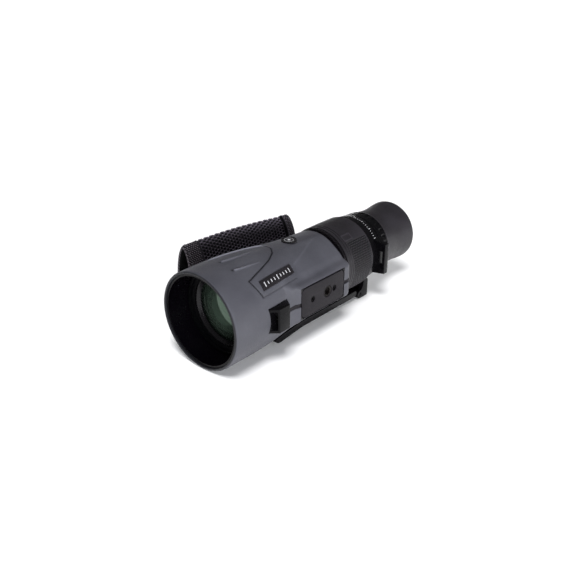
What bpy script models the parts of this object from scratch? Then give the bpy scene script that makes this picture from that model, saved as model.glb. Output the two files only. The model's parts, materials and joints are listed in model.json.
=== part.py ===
"""Straight hand-held spotting scope with a side accessory plate, a belt clip below and a padded hand strap.

Sizes are in millimetres and are turned into metres when a mesh is made. Every shape is drawn in the scope's own
frame: the optical axis runs along +Y from the front rim at station 0 to the eyecup's rim, +X is the side with
the accessory plate, and +Z is up. The empty optical_axis carries that frame, so that the world origin is the
point on the ground below the middle of the object.
"""

import math

import bmesh
import bpy
from mathutils import Vector

MM = 0.001

# Driving dimensions.
LENGTH = 238.0  # front rim to eyecup rim
BELL_RADIUS = 38.6  # widest radius of the armour, which rests on the ground
ARMOUR_WALL = 2.3
TUBE_WALL = 1.4
CLEAR = 0.3  # gap between pieces that touch
BODY_END = 131.0  # rear face of the armour and of the main tube
LUG_REACH = 43.2  # outer face of a front strap lug, from the axis
STRAP_BOW = 57.0  # middle of the hand strap's sleeve from the axis, at its front end
STRAP_HALF_THICKNESS = 10.0

# Armour radius along the axis, as (station, radius).
BODY_PROFILE = [
    (0.0, 38.3),
    (10.0, BELL_RADIUS),
    (31.0, BELL_RADIUS),
    (43.0, 38.2),
    (55.0, 37.2),
    (67.0, 35.6),
    (79.0, 33.8),
    (91.0, 32.5),
    (109.0, 31.2),
    (BODY_END, 30.0),
]

# Side plate on the +X side, and what it is screwed to.
PLATE_FACE = 38.3
PLATE_BACK = 36.5
PLATE_FRONT_STATION = 69.0
PLATE_REAR_STATION = 119.5
PLATE_HALF_HEIGHT = 12.0
PLATE_CORNER = 4.0
BOSS_HALF_HEIGHT = 15.2
SOCKET_STATION = 100.0
SOCKET_RADIUS = 3.175  # major radius of a 1/4-20 thread
BUSH_RADIUS = 4.1
PLATE_SCREW_STATIONS = {"plate_screw_front": 82.0, "plate_screw_rear": 108.0}
BLOCK_TOP = PLATE_BACK - CLEAR
RIB_HALF_HEIGHT = 1.4

# Front strap lugs, which narrow from the armour to their outer face.
LUG_FOOT_STATIONS = (33.0, 54.6)
LUG_STATIONS = (39.0, 50.1)
LUG_HALF_HEIGHT = 9.8
LUG_BASE = 36.5
LUG_BAR = 1.4
LUG_ARM = 1.8
LUG_WINDOW_HALF_HEIGHT = 6.7

# Focusing: the ring turns through a quarter turn each way and moves the lens group by FOCUS_TRAVEL.
BARREL_RADIUS = 26.6
BARREL_BORE = 23.9
FOCUS_RING_STATIONS = (134.4, 171.4)
FOCUS_PIN_STATION = 153.0
FOCUS_PIN_RADIUS = 1.2
FOCUS_TRAVEL = 4.0
FOCUS_TURN = math.radians(90.0)
GRIP_RADIUS = 30.8

# Eyepiece: it slides by one millimetre each way while its ring turns, so a gap is left in front of the ring.
LUG_RING_STATIONS = (172.0, 184.0)
EAR_STATIONS = (177.7, 182.7)
EAR_REACH = 37.0
EYEPIECE_RADIUS = 23.6
EYE_LENS_RADIUS = 17.5
DIOPTER_STATIONS = (185.2, 196.8)

# Belt clip.
CLIP_HALF_WIDTH = 20.0
HINGE_STATION = 168.6
HINGE_HEIGHT = -34.6
HINGE_PIN_RADIUS = 1.3
CHEEK = 3.5
HEEL_BOTTOM = -38.5
CLIP_SCREW_STATION = 176.0
CLIP_SCREW_OFFSET = 9.0

# Hand strap on the -X side: the sleeve's ends along the axis, and its half heights there.
SLEEVE_STATIONS = (38.0, 150.0)
SLEEVE_HALF_HEIGHTS = (32.0, 28.0)
SLEEVE_HALF_THICKNESSES = (STRAP_HALF_THICKNESS, 11.0)
SLEEVE_WALL = 3.0
WEBBING_HALF_WIDTH = 6.0
WEBBING_HALF_THICKNESS = 0.7

# Number of sides of a turned piece.
SIDES_BODY = 48
SIDES_TUBE = 32
SIDES_SMALL = 24


def linear(*levels):
    """Linear colour from three sRGB levels of 0 to 255."""
    return tuple((level / 255) ** 2.2 for level in levels) + (1.0,)


def finish(name, colour, roughness, metallic=0.0, transmission=0.0):
    """A Principled BSDF material with one colour."""
    material = bpy.data.materials.new(name)
    material.use_nodes = True
    shader = material.node_tree.nodes["Principled BSDF"]
    shader.inputs["Base Color"].default_value = colour
    shader.inputs["Roughness"].default_value = roughness
    shader.inputs["Metallic"].default_value = metallic
    shader.inputs["Transmission Weight"].default_value = transmission
    return material


def make_finishes():
    """Every material of the object, by a short name."""
    return {
        "armour": finish("grey_armour", linear(92, 93, 100), 0.55),
        "rubber": finish("black_rubber", linear(52, 51, 55), 0.7),
        "black": finish("black_anodised", linear(34, 33, 36), 0.4, metallic=0.3),
        "plate": finish("plate_grey", linear(58, 56, 60), 0.5, metallic=0.2),
        "plastic": finish("black_plastic", linear(28, 28, 30), 0.35),
        "tube": finish("tube_alloy", linear(60, 60, 62), 0.45, metallic=0.8),
        "cell": finish("cell_black", linear(22, 22, 24), 0.6),
        "steel": finish("screw_steel", linear(120, 120, 122), 0.35, metallic=1.0),
        "brass": finish("bush_brass", linear(150, 128, 80), 0.35, metallic=1.0),
        "coated": finish("coated_glass", linear(90, 130, 100), 0.03, transmission=0.9),
        "glass": finish("clear_glass", linear(225, 230, 235), 0.02, transmission=1.0),
        "badge": finish("badge_dark", linear(40, 39, 43), 0.3),
        "mesh": finish("air_mesh_fabric", linear(34, 32, 37), 0.9),
        "webbing": finish("nylon_webbing", linear(24, 24, 26), 0.8),
    }


def clear_scene():
    for obj in list(bpy.data.objects):
        bpy.data.objects.remove(obj, do_unlink=True)


def body_radius(station):
    """Armour radius at a station, read along BODY_PROFILE."""
    for (start, first), (end, last) in zip(BODY_PROFILE, BODY_PROFILE[1:]):
        if station <= end:
            return first + (last - first) * (station - start) / (end - start)
    return BODY_PROFILE[-1][1]


def body_line(inset, first=0.0, last=BODY_END):
    """(station, radius) points that follow the armour at a depth below its surface."""
    stations = [first] + [station for station, _ in BODY_PROFILE if first < station < last] + [last]
    return [(station, body_radius(station) - inset) for station in stations]


def make_object(name, bm, material, parent, origin=(0.0, 0.0, 0.0)):
    """Turns a bmesh drawn in millimetres in the scope's frame into an object with its origin at that point."""
    bmesh.ops.remove_doubles(bm, verts=bm.verts, dist=1e-4)
    bmesh.ops.recalc_face_normals(bm, faces=bm.faces)
    for vert in bm.verts:
        vert.co = (vert.co - Vector(origin)) * MM
    mesh = bpy.data.meshes.new(name)
    bm.to_mesh(mesh)
    bm.free()
    mesh.shade_smooth()
    mesh.set_sharp_from_angle(angle=math.radians(32))
    obj = bpy.data.objects.new(name, mesh)
    bpy.context.scene.collection.objects.link(obj)
    obj.location = Vector(origin) * MM
    obj.parent = parent
    if material:
        mesh.materials.append(material)
    return obj


def turned_mesh(outline, sides):
    """A closed solid turned about the optical axis from (station, radius) points."""
    bm = bmesh.new()
    points = [bm.verts.new((radius, station, 0.0)) for station, radius in outline]
    edges = [bm.edges.new(pair) for pair in zip(points, points[1:])]
    if min(radius for _, radius in outline) > 0:
        edges.append(bm.edges.new((points[-1], points[0])))
    bmesh.ops.spin(
        bm,
        geom=points + edges,
        cent=(0, 0, 0),
        axis=(0, 1, 0),
        angle=2 * math.pi,
        steps=sides,
        use_merge=True,
    )
    return bm


def turned(name, outline, material, parent, sides=SIDES_SMALL):
    origin = (0.0, outline[0][0], 0.0)
    return make_object(name, turned_mesh(outline, sides), material, parent, origin)


def ring(name, stations, radii, material, parent, sides=SIDES_SMALL, chamfer=0.0):
    """A plain ring between two stations and two radii, with its outer corners chamfered."""
    (first, last), (inner, outer) = stations, radii
    outline = [(first, inner), (first, outer - chamfer), (first + chamfer, outer)]
    outline += [(last - chamfer, outer), (last, outer - chamfer), (last, inner)]
    if not chamfer:
        outline = [(first, inner), (first, outer), (last, outer), (last, inner)]
    return turned(name, outline, material, parent, sides)


def lens(name, radius, front, rear, material, parent):
    """A round glass. front and rear are (station at the edge, bulge towards +Y in the middle)."""
    steps = 2
    fractions = [step / steps for step in range(steps + 1)]
    outline = [(front[0] + front[1] * (1 - part**2), radius * part) for part in fractions]
    outline += [(rear[0] + rear[1] * (1 - part**2), radius * part) for part in reversed(fractions)]
    return turned(name, outline, material, parent)


def prism_mesh(outline, low, high, to_point):
    """An outline of 2D points extruded from low to high, each corner placed by to_point(a, b, depth)."""
    bm = bmesh.new()
    bottom = bm.faces.new([bm.verts.new(to_point(a, b, low)) for a, b in outline])
    result = bmesh.ops.extrude_face_region(bm, geom=[bottom])
    shift = to_point(0, 0, high) - to_point(0, 0, low)
    moved = [item for item in result["geom"] if isinstance(item, bmesh.types.BMVert)]
    bmesh.ops.translate(bm, verts=moved, vec=shift)
    return bm


def along_x(station, height, depth):
    return Vector((depth, station, height))


def along_y(across, height, depth):
    return Vector((across, depth, height))


def along_z(across, station, depth):
    return Vector((across, station, depth))


def box_mesh(low, high):
    outline = [(low[1], low[2]), (high[1], low[2]), (high[1], high[2]), (low[1], high[2])]
    return prism_mesh(outline, low[0], high[0], along_x)


def rod_mesh(centre, radius, reach, axis, sides=12):
    """A round rod along X or Z: centre is its (first, second) position across, reach its two ends."""
    steps = [2 * math.pi * (side + 0.5) / sides for side in range(sides)]
    outline = [(centre[0] + radius * math.cos(a), centre[1] + radius * math.sin(a)) for a in steps]
    to_point = along_x if axis == "X" else along_z
    return prism_mesh(outline, reach[0], reach[1], to_point)


def rounded_rectangle(first, last, half_height, corner, steps=3):
    """(station, height) points of a rectangle with round corners."""
    points = []
    centres = [
        (last - corner, half_height - corner, 0),
        (first + corner, half_height - corner, 90),
        (first + corner, corner - half_height, 180),
        (last - corner, corner - half_height, 270),
    ]
    for station, height, start in centres:
        for step in range(steps + 1):
            angle = math.radians(start + 90 * step / steps)
            points.append((station + corner * math.cos(angle), height + corner * math.sin(angle)))
    return points


def helper(name, bm, parent):
    """An object that only shapes others: it is left out of renders."""
    obj = make_object(name, bm, None, parent)
    obj.hide_render = True
    obj.display_type = "WIRE"
    return obj


def combine(obj, other, operation):
    modifier = obj.modifiers.new(operation.lower() + "_" + other.name, "BOOLEAN")
    modifier.object = other
    modifier.operation = operation
    modifier.solver = "EXACT"


def cut(obj, *meshes):
    """Cuts each mesh out of the object."""
    for number, bm in enumerate(meshes):
        cutter = helper(f"cut_{obj.name}_{len(obj.modifiers)}_{number}", bm, obj.parent)
        combine(obj, cutter, "DIFFERENCE")


def add(obj, *meshes):
    """Joins each mesh to the object."""
    for number, bm in enumerate(meshes):
        extra = helper(f"add_{obj.name}_{len(obj.modifiers)}_{number}", bm, obj.parent)
        combine(obj, extra, "UNION")


def armour(parts, parent):
    """Rubber armour: the bell and body shell, with the boss round the side plate."""
    outer = [(0.0, 0.0), (0.0, 37.5), (0.8, 38.3)] + body_line(0.0, 0.8)[1:]
    outer[-1] = (BODY_END - 1.0, body_radius(BODY_END))
    outer += [(BODY_END, body_radius(BODY_END) - 0.9), (BODY_END, 0.0)]
    shell = turned("rubber_armour", outer, parts["armour"], parent, SIDES_BODY)
    plan = [(20.0, 57.3), (35.4, 57.3), (36.9, 60.5), (PLATE_FACE, 66.5)]
    plan += [(PLATE_FACE, 126.0), (36.6, 129.0), (20.0, 129.0)]
    boss = prism_mesh(plan, -BOSS_HALF_HEIGHT, BOSS_HALF_HEIGHT, along_z)
    long_edges = []
    for edge in boss.edges:
        first, second = (vert.co for vert in edge.verts)
        if min(first.x, second.x) > PLATE_FACE - 3.2 and abs(first.z - second.z) < 1:
            long_edges.append(edge)
    bmesh.ops.bevel(boss, geom=long_edges, offset=2.0, segments=2, affect="EDGES", profile=0.5)
    add(shell, boss)
    bore = [(-1.0, 0.0), (-1.0, body_radius(0) - ARMOUR_WALL)] + body_line(ARMOUR_WALL)
    bore += [(BODY_END + 1, body_radius(BODY_END) - ARMOUR_WALL), (BODY_END + 1, 0.0)]
    cut(shell, turned_mesh(bore, SIDES_BODY))
    cavity = box_mesh((20, 63.7, -12.3), (PLATE_BACK, 127.3, 12.3))
    pocket_line = rounded_rectangle(
        PLATE_FRONT_STATION - 0.4, PLATE_REAR_STATION + 0.4, PLATE_HALF_HEIGHT + 0.4, PLATE_CORNER + 0.4
    )
    pocket = prism_mesh(pocket_line, PLATE_BACK - 0.4, 50, along_x)
    groove = RIB_HALF_HEIGHT + CLEAR
    front_groove = box_mesh((20, 55.3, -groove), (50, 70, groove))
    rear_groove = box_mesh((20, 118, -groove), (50, 128.4, groove))
    cut(shell, cavity, pocket, front_groove, rear_groove)
    reach = LUG_HALF_HEIGHT + CLEAR
    for side in (1, -1):
        cut(shell, prism_mesh(lug_plan(side, CLEAR), -reach, reach, along_z))


def main_tube(parts, parent):
    """Rigid body tube, which keeps clear of the armour outside it."""
    stations = (1.5, 31.0, 55.0, 67.0, 79.0, 91.0, 109.0, BODY_END)
    depths = (ARMOUR_WALL + CLEAR, ARMOUR_WALL + CLEAR + TUBE_WALL)
    outer, inner = [[(station, body_radius(station) - depth) for station in stations] for depth in depths]
    turned("main_tube", outer + inner[::-1], parts["tube"], parent, SIDES_TUBE)


def side_plate(parts, parent):
    """The accessory plate, the block that it is screwed to, its socket and its two screws."""
    bm = box_mesh((20, 64, -PLATE_HALF_HEIGHT), (BLOCK_TOP, 127, PLATE_HALF_HEIGHT))
    block = make_object("mount_block", bm, parts["plate"], parent)
    front_rib = [(20, 55.6), (36.6, 55.6), (36.4, 60.5), (37.5, 65.5), (37.5, 68.3), (20, 68.3)]
    add(block, prism_mesh(front_rib, -RIB_HALF_HEIGHT, RIB_HALF_HEIGHT, along_z))
    add(block, box_mesh((20, 120.3, -RIB_HALF_HEIGHT), (37.1, 128.1, RIB_HALF_HEIGHT)))
    tube_line = [(40.0, 0.0)] + body_line(ARMOUR_WALL, 40.0) + [(BODY_END, 0.0)]
    cut(block, turned_mesh(tube_line, SIDES_TUBE))
    plate_line = rounded_rectangle(
        PLATE_FRONT_STATION, PLATE_REAR_STATION, PLATE_HALF_HEIGHT, PLATE_CORNER
    )
    bm = prism_mesh(plate_line, PLATE_BACK, PLATE_FACE, along_x)
    plate = make_object("accessory_plate", bm, parts["plate"], parent)
    socket = (SOCKET_STATION, 0.0)
    bush_hole = BUSH_RADIUS + CLEAR
    cut(plate, rod_mesh(socket, bush_hole, (30, 45), "X", 16))
    cut(block, rod_mesh(socket, bush_hole, (10, 45), "X", 16))
    bush_foot = 30.5
    bm = rod_mesh(socket, BUSH_RADIUS, (bush_foot, PLATE_FACE - 0.2), "X", 16)
    bush = make_object("tripod_bush", bm, parts["brass"], parent)
    cut(bush, rod_mesh(socket, SOCKET_RADIUS, (bush_foot + 0.8, 45), "X", 16))
    for name, station in PLATE_SCREW_STATIONS.items():
        spot = (station, 0.0)
        cut(plate, rod_mesh(spot, 1.4, (30, 45), "X"), rod_mesh(spot, 2.2, (PLATE_FACE - 0.9, 45), "X"))
        cut(block, rod_mesh(spot, 1.4, (33.3, 45), "X"))
        screw = make_object(name, rod_mesh(spot, 1.1, (33.7, PLATE_FACE - 0.3), "X"), parts["steel"], parent)
        add(screw, rod_mesh(spot, 1.85, (PLATE_FACE - 0.6, PLATE_FACE - 0.1), "X"))


def lug_plan(side, gap=0.0):
    """Plan of a front lug as (across, station), or of the hole for it when a gap is given."""
    plan = [(LUG_BASE, LUG_FOOT_STATIONS[0] - gap), (LUG_REACH, LUG_STATIONS[0] - gap)]
    plan += [(LUG_REACH, LUG_STATIONS[1] + gap), (LUG_BASE, LUG_FOOT_STATIONS[1] + gap)]
    if gap:
        inside = LUG_BASE - 1.5
        plan = [(inside, plan[0][1])] + plan + [(inside, plan[-1][1])]
    return [(side * across, station) for across, station in plan]


def front_lugs(parts, parent):
    """A square loop each side of the bell, with a window that lets the webbing through along the axis."""
    for name, side in (("front_lug_near", 1), ("front_lug_far", -1)):
        bm = prism_mesh(lug_plan(side), -LUG_HALF_HEIGHT, LUG_HALF_HEIGHT, along_z)
        lug = make_object(name, bm, parts["plastic"], parent)
        low, high = sorted((side * (LUG_BASE + LUG_ARM), side * (LUG_REACH - LUG_BAR)))
        half = LUG_WINDOW_HALF_HEIGHT
        cut(lug, box_mesh((low, 20, -half), (high, 60, half)))


def badges(parts, parent):
    """A blank oblong badge curved to the armour, and a plain round one on top."""
    bm = bmesh.new()
    rows = 6
    columns = 3
    for lift in (CLEAR, CLEAR + 0.5):
        for row in range(rows + 1):
            part = row / rows
            station = 35.0 + 38.0 * part
            upper = 43.5 - 5.0 * part
            lower = 55.5 - 4.0 * part
            for column in range(columns + 1):
                angle = math.radians(upper + (lower - upper) * column / columns)
                radius = body_radius(station) + lift
                bm.verts.new((radius * math.sin(angle), station, radius * math.cos(angle)))
    badge_from_grid(bm, rows, columns)
    make_object("name_badge", bm, parts["badge"], parent)
    spot_station = 97.8
    top = body_radius(spot_station - 6.3) + CLEAR
    bm = rod_mesh((0.0, spot_station), 6.3, (top, top + 0.8), "Z", 20)
    make_object("round_badge", bm, parts["steel"], parent)


def badge_from_grid(bm, rows, columns):
    """Makes the faces of a curved plate whose lower and upper grids are the mesh's points in order."""
    bm.verts.ensure_lookup_table()
    width = columns + 1
    layer = (rows + 1) * width

    def corner(level, row, column):
        return bm.verts[level * layer + row * width + column]

    for row in range(rows):
        for column in range(columns):
            for level in (0, 1):
                around = [(row, column), (row, column + 1), (row + 1, column + 1), (row + 1, column)]
                bm.faces.new([corner(level, *place) for place in around])
    rim = [(0, column) for column in range(width)] + [(row, columns) for row in range(1, rows + 1)]
    rim += [(rows, column) for column in range(columns - 1, -1, -1)]
    rim += [(row, 0) for row in range(rows - 1, 0, -1)]
    for place, after in zip(rim, rim[1:] + rim[:1]):
        bm.faces.new([corner(0, *place), corner(0, *after), corner(1, *after), corner(1, *place)])


def objective(parts, parent):
    """Front glasses in their stepped cell, the ring that holds them, and the cell's seal."""
    cell_line = [(20.0, 33.5), (34.0, 33.5), (34.0, 32.2), (36.0, 32.2), (36.0, 33.5), (41.0, 33.5)]
    cell_line += [(41.0, 25.0), (39.4, 25.0), (39.4, 26.8), (26.8, 26.8), (26.8, 28.8)]
    cell_line += [(23.0, 28.8), (23.0, 31.4), (20.0, 31.4)]
    turned("objective_cell", cell_line, parts["cell"], parent)
    seal("objective_seal", 35.0, 33.0, parts, parent)
    holder = [(23.4, 28.5), (26.5, 28.5), (26.5, 25.2), (25.6, 25.2), (23.4, 27.4)]
    turned("objective_retaining_ring", holder, parts["black"], parent)
    lens("objective_crown_lens", 26.5, (27.4, -3.7), (31.4, 4.1), parts["coated"], parent)
    lens("objective_flint_lens", 26.5, (31.8, 4.1), (39.0, -1.0), parts["glass"], parent)
    baffle = [(50.0, 32.8), (53.0, 32.8), (78.0, 17.6), (78.0, 16.4), (52.0, 31.6), (50.0, 31.6)]
    turned("light_baffle", baffle, parts["cell"], parent)


def seal(name, station, radius, parts, parent):
    """An O-ring with a four-sided section."""
    thickness = 0.6
    section = [(station + thickness, radius), (station, radius - thickness)]
    section += [(station - thickness, radius), (station, radius + thickness)]
    turned(name, section, parts["rubber"], parent)


def prisms(parts, parent):
    """A pair of erecting prisms with a slanted air gap, in a turned cage, held by a U-shaped clip."""
    cage = [(80.0, 29.2), (82.0, 29.2), (82.0, 26.1), (119.0, 26.1), (119.0, 24.6)]
    cage += [(83.2, 24.6), (83.2, 14.0), (80.0, 14.0)]
    turned("prism_cage", cage, parts["black"], parent)
    start = 84.5
    half_width = 11.0
    entrance = [(0.0, 13.0), (0.0, -9.0), (16.6, -15.9), (26.5, -13.5)]
    outline = [(start + along, height) for along, height in entrance]
    bm = prism_mesh(outline, -half_width, half_width, along_x)
    make_object("entrance_prism", bm, parts["glass"], parent)
    bm = bmesh.new()
    side_corners = [(30.0, -16.2), (14.4, -0.6), (30.0, 5.9)]
    ridge = [(6.0, 7.8), (30.0, 17.8)]
    for along, height in side_corners:
        for across in (-half_width, half_width):
            bm.verts.new((across, start + 1.0 + along, height))
    for along, height in ridge:
        bm.verts.new((0.0, start + 1.0 + along, height))
    bmesh.ops.convex_hull(bm, input=bm.verts)
    bmesh.ops.dissolve_limit(bm, angle_limit=0.01, verts=bm.verts, edges=bm.edges)
    make_object("roof_prism", bm, parts["glass"], parent)
    clip_line = [(-12.2, -17.6), (12.2, -17.6), (12.2, 8.0), (11.4, 8.0)]
    clip_line += [(11.4, -16.8), (-11.4, -16.8), (-11.4, 8.0), (-12.2, 8.0)]
    make_object("prism_clip", prism_mesh(clip_line, 90.0, 110.0, along_y), parts["steel"], parent)


def rear_barrel(parts, parent):
    """Inner barrel that carries the focus ring outside and the sliding lens cell inside."""
    line = [(121.0, 25.4), (125.0, 25.4), (125.0, 24.2), (127.0, 24.2), (127.0, 25.4), (131.3, 25.4)]
    line += [(131.3, 28.2), (134.0, 28.2), (134.0, BARREL_RADIUS), (180.0, BARREL_RADIUS)]
    line += [(180.0, BARREL_BORE), (137.0, BARREL_BORE), (137.0, 23.0), (121.0, 23.0)]
    barrel = turned("rear_barrel", line, parts["tube"], parent, SIDES_TUBE)
    reach = FOCUS_TRAVEL + FOCUS_PIN_RADIUS + 0.5
    slot = box_mesh((-1.6, FOCUS_PIN_STATION - reach, 20), (1.6, FOCUS_PIN_STATION + reach, 30))
    cut(barrel, slot)
    seal("rear_seal", 126.0, 25.1, parts, parent)


def helical_slot(pitch):
    """Cutter for the cam sleeve: a strip that moves forward by pitch for each radian towards +X."""
    reach = FOCUS_TURN + math.radians(6.0)
    steps = 20
    half_slot = FOCUS_PIN_RADIUS + 0.4
    bm = bmesh.new()
    before = None
    for step in range(steps + 1):
        angle = -reach + 2 * reach * step / steps
        station = FOCUS_PIN_STATION - pitch * angle
        corners = []
        for radius, shift in ((25.5, -half_slot), (25.5, half_slot), (30.0, half_slot), (30.0, -half_slot)):
            spot = (radius * math.sin(angle), station + shift, radius * math.cos(angle))
            corners.append(bm.verts.new(spot))
        if before:
            for side in range(4):
                after = (side + 1) % 4
                bm.faces.new([before[side], before[after], corners[after], corners[side]])
        if step in (0, steps):
            bm.faces.new(corners)
        before = corners
    return bm


def focusing(parts, parent):
    """Focus ring with its grip and cam sleeve, and the lens cell that the pin drives along the axis."""
    first, last = FOCUS_RING_STATIONS
    sleeve = ring("focus_cam_sleeve", FOCUS_RING_STATIONS, (26.9, 28.2), parts["black"], parent, SIDES_TUBE)
    cut(sleeve, helical_slot(FOCUS_TRAVEL / FOCUS_TURN))
    line = [(first, 28.5), (first, 29.8), (first + 0.5, 30.2), (first + 2.0, 30.2), (first + 2.0, 29.7)]
    line += [(last - 1.0, 29.7), (last - 1.0, 30.0), (last, 30.0), (last, 28.5)]
    turned("focus_ring", line, parts["black"], parent, SIDES_TUBE)
    grip_stations = (first + 2.3, last - 1.3)
    ring("focus_grip", grip_stations, (30.0, GRIP_RADIUS), parts["rubber"], parent, SIDES_TUBE, chamfer=0.3)
    line = [(146.0, 16.3), (146.0, 23.5), (160.0, 23.5), (160.0, 18.2), (148.5, 18.2), (148.5, 16.3)]
    cell = turned("focus_cell", line, parts["cell"], parent)
    pin_spot = (0.0, FOCUS_PIN_STATION)
    cut(cell, rod_mesh(pin_spot, 1.5, (20.2, 30), "Z"))
    pin = rod_mesh(pin_spot, FOCUS_PIN_RADIUS, (20.5, 28.0), "Z")
    make_object("focus_cam_pin", pin, parts["steel"], parent, (0.0, FOCUS_PIN_STATION, 0.0))
    lens("focus_front_lens", 17.9, (149.0, 1.2), (152.0, 1.0), parts["glass"], parent)
    lens("focus_rear_lens", 17.9, (152.5, 1.0), (155.0, -0.6), parts["glass"], parent)
    ring("focus_retainer", (155.4, 158.4), (15.8, 17.9), parts["black"], parent)


def lug_ring(parts, parent):
    """Fixed ring behind the focus ring, with a slotted ear each side and a pad below for the belt clip."""
    first, last = LUG_RING_STATIONS
    line = [(first, 26.9), (first, 29.4), (178.0, 29.1), (last, 28.5)]
    line += [(last, 24.3), (180.4, 24.3), (180.4, 26.9)]
    body = turned("rear_lug_ring", line, parts["plastic"], parent, SIDES_TUBE)
    root = 28.0
    inner_height = 15.4
    outer_height = 13.3
    half_angle = math.degrees(math.asin(inner_height / root))
    for side in (1, -1):
        tip = [(side * EAR_REACH, outer_height), (side * EAR_REACH, -outer_height)]
        centre_angle = 0 if side == 1 else 180
        curve = arc((0.0, 0.0), root, centre_angle - side * half_angle, centre_angle + side * half_angle, 6)
        add(body, prism_mesh(tip + curve, EAR_STATIONS[0], EAR_STATIONS[1], along_y))
    pad_half_width = 13.0
    pad_angle = math.degrees(math.asin(pad_half_width / root))
    pad = [(-pad_half_width, -32.5), (pad_half_width, -32.5)]
    pad += arc((0.0, 0.0), root, pad_angle - 90, -pad_angle - 90, 6)
    add(body, prism_mesh(pad, 173.0, 180.0, along_y))
    for side in (1, -1):
        low, high = sorted((side * 31.5, side * 34.5))
        cut(body, box_mesh((low, 170, -6.5), (high, 190, 6.5)))
        cut(body, rod_mesh((side * CLIP_SCREW_OFFSET, CLIP_SCREW_STATION), 1.4, (-40, -27.6), "Z"))


def reticle(parts, parent):
    line = [(168.0, 16.5), (168.0, 23.5), (177.5, 23.5), (177.5, 19.5), (171.5, 19.5), (171.5, 16.5)]
    turned("reticle_cell", line, parts["cell"], parent)
    ring("reticle_retainer", (174.2, 176.9), (16.5, 19.2), parts["black"], parent)
    lens("reticle_disc", 19.2, (171.8, 0.0), (173.9, 0.0), parts["glass"], parent)


def eyepiece(parts, parent):
    """Sliding eyepiece barrel with three glasses, their spacers and the ring that holds them."""
    bore = EYE_LENS_RADIUS + 0.4
    line = [(179.2, 15.5), (179.2, EYEPIECE_RADIUS), (213.0, EYEPIECE_RADIUS)]
    line += [(213.0, bore), (182.6, bore), (182.6, 15.5)]
    turned("eyepiece_barrel", line, parts["black"], parent)
    lens("field_lens", EYE_LENS_RADIUS, (183.0, -1.2), (187.0, 2.0), parts["glass"], parent)
    ring("field_spacer", (187.9, 191.9), (15.4, EYE_LENS_RADIUS), parts["cell"], parent)
    lens("middle_lens", EYE_LENS_RADIUS, (192.8, -2.3), (200.4, 1.5), parts["glass"], parent)
    ring("eye_spacer", (201.0, 203.5), (15.4, EYE_LENS_RADIUS), parts["cell"], parent)
    lens("eye_lens", EYE_LENS_RADIUS, (204.0, -1.0), (208.6, 1.6), parts["coated"], parent)
    ring("eyepiece_retainer", (209.6, 212.6), (13.0, EYE_LENS_RADIUS), parts["black"], parent)


def eyecup(parts, parent):
    first, last = DIOPTER_STATIONS
    line = [(first, 24.1), (first, 27.9), (first + 0.4, 28.3), (last, 27.7), (last, 24.1)]
    turned("diopter_ring", line, parts["plastic"], parent, SIDES_TUBE)
    outside = [(197.2, 27.5), (199.0, 26.9), (205.0, 26.2), (214.0, 25.4), (223.0, 25.6)]
    outside += [(229.0, 26.3), (235.0, 26.8), (237.2, 26.8), (LENGTH, 26.0)]
    inside = [(LENGTH, 24.8), (226.0, 22.3), (215.6, 19.5), (215.6, 14.5), (213.6, 14.5)]
    inside += [(213.6, 24.0), (197.2, 24.0)]
    turned("eyecup", outside + inside, parts["rubber"], parent, SIDES_TUBE)


def envelope(gap):
    """Solid of the fixed body and the focus ring, grown by a gap, to cut the clip's pieces to their curve."""
    line = [(40.0, 0.0)] + body_line(-gap, 40.0)
    line += [(171.7, GRIP_RADIUS + gap), (171.7, 29.4 + gap), (190.0, 29.4 + gap), (190.0, 0.0)]
    return turned_mesh(line, SIDES_BODY)


def clip(parts, parent):
    """Belt clip: a bracket under the lug ring, and a spring-loaded arm that runs forward under the body."""
    heel = [(164.9, -35.0), (165.5, -37.2), (167.3, HEEL_BOTTOM), (178.0, HEEL_BOTTOM), (179.0, -37.5)]
    heel += [(179.0, -22.6), (173.6, -22.6), (172.2, -28.0), (170.8, -30.8), (168.4, -31.4), (165.9, -32.4)]
    bm = prism_mesh(heel, -CLIP_HALF_WIDTH, CLIP_HALF_WIDTH, along_x)
    bracket = make_object("clip_bracket", bm, parts["plastic"], parent)
    inner_cheek = CLIP_HALF_WIDTH - CHEEK
    hinge = (HINGE_STATION, HINGE_HEIGHT)
    cut(bracket, envelope(0.4))
    cut(bracket, box_mesh((-inner_cheek, 160, -45), (inner_cheek, 172.4, -20)))
    cut(bracket, box_mesh((-13.3, 170, -32.8), (13.3, 185, -20)))
    cut(bracket, rod_mesh(hinge, HINGE_PIN_RADIUS + CLEAR, (-30, 30), "X"))
    for name, side in (("clip_screw_right", 1), ("clip_screw_left", -1)):
        spot = (side * CLIP_SCREW_OFFSET, CLIP_SCREW_STATION)
        cut(bracket, rod_mesh(spot, 1.4, (-45, -25), "Z"), rod_mesh(spot, 2.5, (-45, -36.4), "Z"))
        screw = make_object(name, rod_mesh(spot, 1.1, (-37, -28), "Z"), parts["steel"], parent)
        add(screw, rod_mesh(spot, 2.2, (HEEL_BOTTOM + 0.4, -36.7), "Z"))
    pin = rod_mesh(hinge, HINGE_PIN_RADIUS, (-19.6, 19.6), "X")
    make_object("clip_pin", pin, parts["steel"], parent, (0.0,) + hinge)
    clip_arm(parts, parent, hinge, inner_cheek)
    clip_spring(parts, parent, hinge)


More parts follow.
